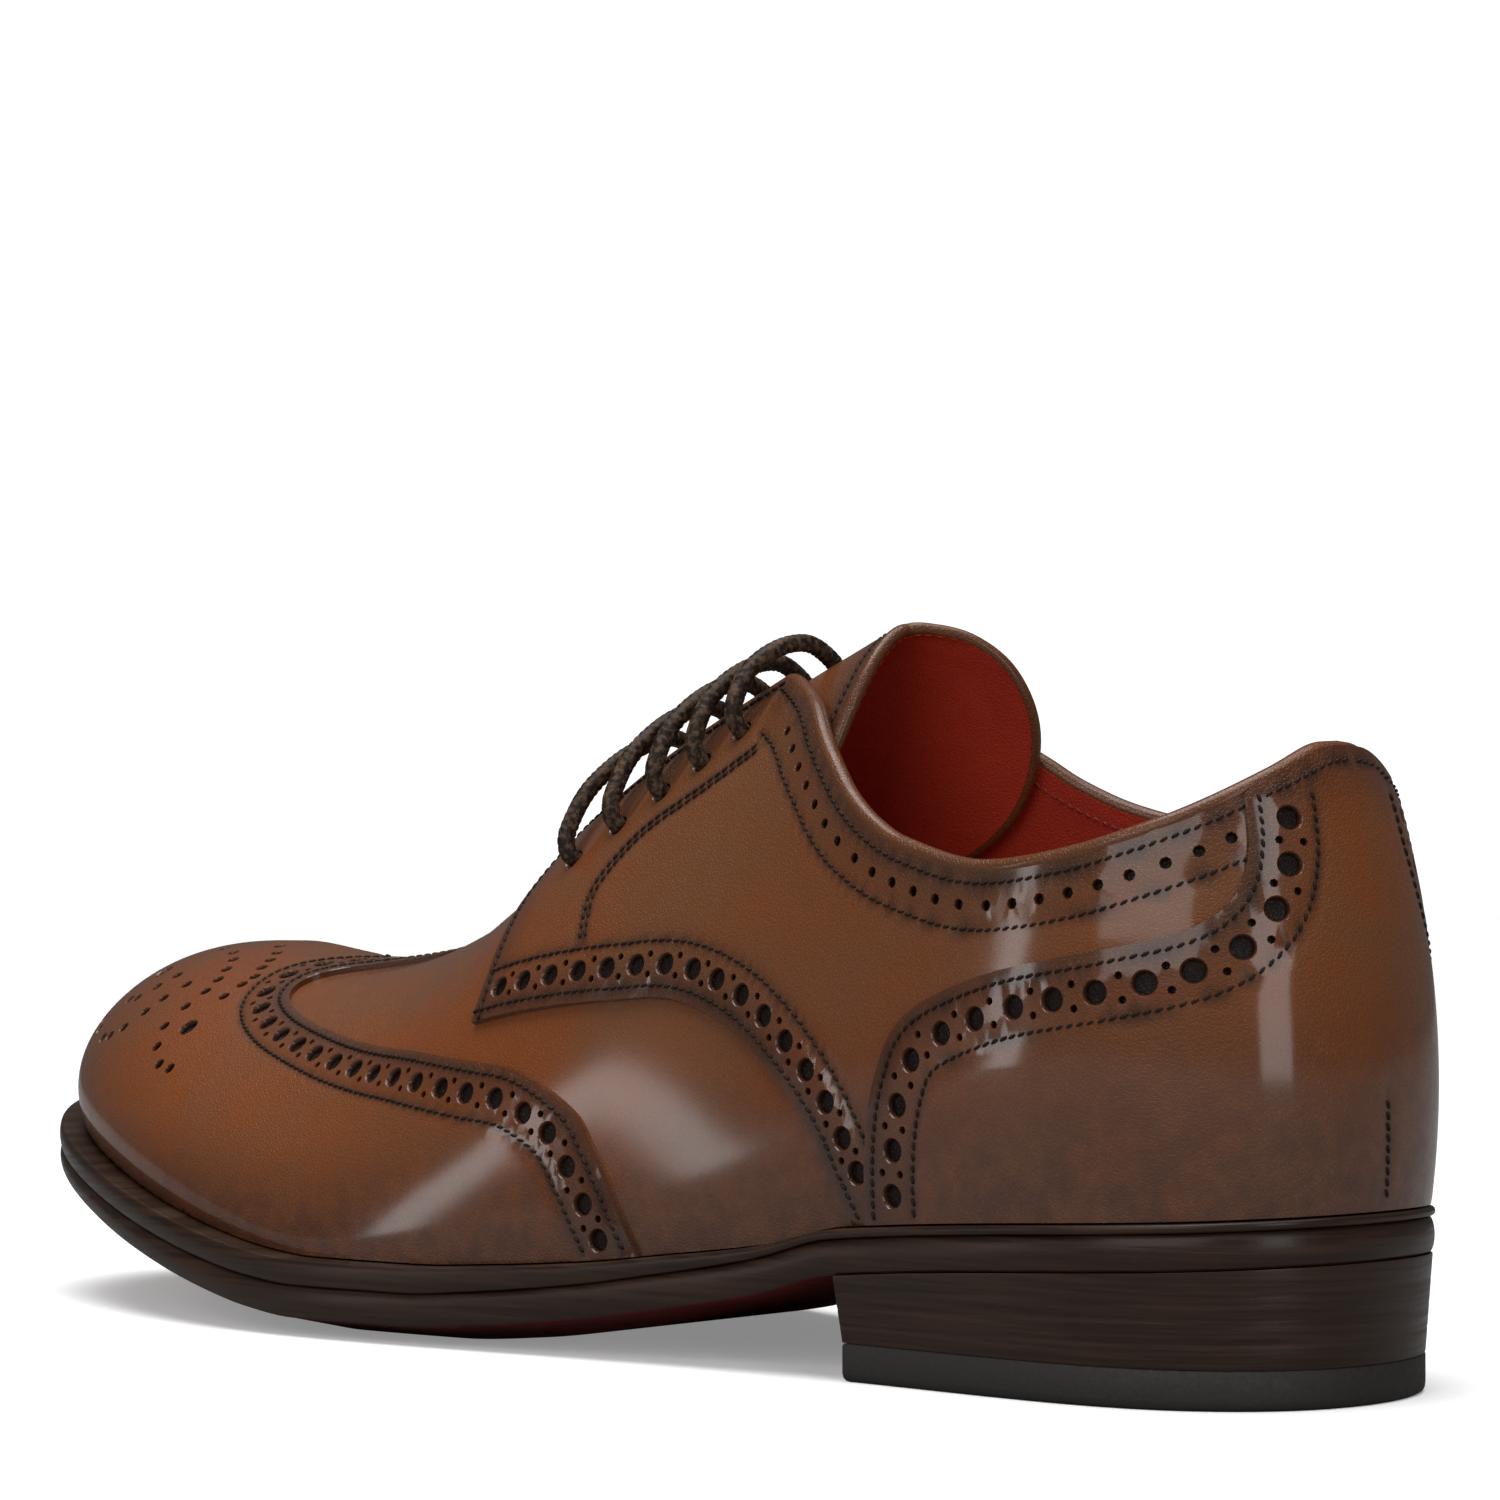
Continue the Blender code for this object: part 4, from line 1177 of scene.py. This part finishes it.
def heel_outline(inset, height, steps=64, breast=12):
    r = np.linspace(0, 0.5, 800)
    reach = []
    for sign in (1, -1):
        foot, _, _, _, _, wide = rib(sign * r)
        plan = foot + outward(sign * r) * wide[:, None]
        reach.append(sign * np.interp(HEEL_LENGTH, plan[:, 0], r))
    places = np.linspace(reach[0], reach[1], 2 * steps + 1)
    foot, _, _, _, _, wide = rib(places)
    plan = foot + outward(places) * (wide - inset)[:, None]
    plan[:, 0] = np.minimum(plan[:, 0], HEEL_LENGTH - inset)
    s = (np.arange(1, breast) / breast)[:, None]
    line = plan[-1] * (1 - s) + plan[0] * s
    line[:, 0] -= HEEL_TAPER * 2 * np.sin(math.pi * s[:, 0])
    plan = np.vstack([plan, line])
    return shift(np.column_stack([plan, height(plan[:, 0])]))


def heel_piece(name, rows, material, slot, node):
    rings = [heel_outline(inset, height) for inset, height in rows]
    count = len(rings[0])
    walls = []
    for k in range(len(rings) - 1):
        for i in range(count):
            j = (i + 1) % count
            walls.append((k * count + i, k * count + j, (k + 1) * count + j, (k + 1) * count + i))
    ends = [tuple(range(count))[::-1], tuple(range((len(rings) - 1) * count, len(rings) * count))]
    return keep(solid_piece(name, rings, walls, ends), material, slot, node)


def heel_side(share):
    low = TOP_LIFT_THICK + 0.0001
    return lambda x: low + (sole_height(x) - SEAM_GAP / 3 - low) * share


heel_rows = []
LIFTS = 4
for k in range(LIFTS):
    for share, groove in ((0.00, 0.00005), (0.07, 0.0), (0.93, 0.0), (1.00, 0.00005)):
        at = (k + share) / LIFTS
        if share == 1.00 and k < LIFTS - 1:
            continue
        heel_rows.append((HEEL_TAPER * (1 - at) + 0.0004 * at + groove, heel_side(at)))
heel_piece("heel_lifts", heel_rows, BURNISHED, "stacked_leather", "heel_stack")
lift_rows = []
TOP_PIECE_ROWS = ((0.0009, 0.0), (0.0004, 0.04), (0.0001, 0.12), (0.0, 0.25), (0.0, 0.94), (0.0002, 1.0))
for inset, share in TOP_PIECE_ROWS:
    lift_rows.append((HEEL_TAPER + inset, lambda x, share=share: np.full(len(x), TOP_LIFT_THICK * share)))
heel_piece("heel_top_piece", lift_rows, RUBBER, "heel_rubber", "top_lift")

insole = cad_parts["insole"]
insole.data.materials.clear()
insole.data.materials.append(LINING)


# Studio
def floor_material():
    """White paper that is bright to the camera and throws less light back at the shoe."""
    material, net, shader = start_material("pale_floor")
    seen = net.nodes.new("ShaderNodeLightPath").outputs["Is Camera Ray"]
    net.links.new(blend(net, seen, (0.30, 0.30, 0.30), (0.93, 0.93, 0.93)), shader.inputs["Base Color"])
    net.links.new(sums(net, "MULTIPLY", seen, 0.24), shader.inputs["Emission Strength"])
    shader.inputs["Emission Color"].default_value = (1, 1, 1, 1)
    shader.inputs["Roughness"].default_value = 0.9
    shader.inputs["Specular IOR Level"].default_value = 0.0
    return material


bpy.ops.object.select_all(action="DESELECT")
bpy.ops.mesh.primitive_plane_add(size=24, location=(0, 0, 0))
floor = bpy.context.object
floor.name = "floor"
floor.data.materials.append(floor_material())

world = bpy.data.worlds.new("studio")
world.use_nodes = True
world_nodes = world.node_tree.nodes
seen = world_nodes.new("ShaderNodeLightPath").outputs["Is Camera Ray"]
glow = sums(world.node_tree, "ADD", sums(world.node_tree, "MULTIPLY", seen, 1.05), 0.09)
world.node_tree.links.new(glow, world_nodes["Background"].inputs["Strength"])
world_nodes["Background"].inputs["Color"].default_value = (1, 1, 1, 1)
bpy.context.scene.world = world


def soft_light(name, place, target, size, power):
    data = bpy.data.lights.new(name, "AREA")
    data.shape = "RECTANGLE"
    data.size, data.size_y = size
    data.energy = power
    lamp = bpy.data.objects.new(name, data)
    bpy.context.scene.collection.objects.link(lamp)
    lamp.location = place
    aim = Vector(target) - Vector(place)
    lamp.rotation_euler = aim.to_track_quat("-Z", "Y").to_euler()
    return lamp


sun_data = bpy.data.lights.new("sky_softbox", "SUN")
sun_data.energy = 2.3
sun_data.angle = math.radians(60)
sun_data.specular_factor = 0.0
bpy.context.scene.collection.objects.link(bpy.data.objects.new("sky_softbox", sun_data))
soft_light("overhead", (0.25, 0.15, 1.5), (0.12, 0, 0), (0.9, 0.7), 7)
soft_light("strip", (1.15, 1.55, 0.35), (0.03, 0, 0.05), (0.14, 0.8), 1.5)
soft_light("heel_strip", (-1.60, 0.60, 0.55), (-0.03, 0, 0.05), (0.55, 1.2), 6)
fill = soft_light("fill", (-0.3, 2.2, 1.2), (0.05, 0, 0.04), (2.0, 1.5), 18)
fill.data.specular_factor = 0.1
bpy.context.scene.view_settings.view_transform = "Standard"
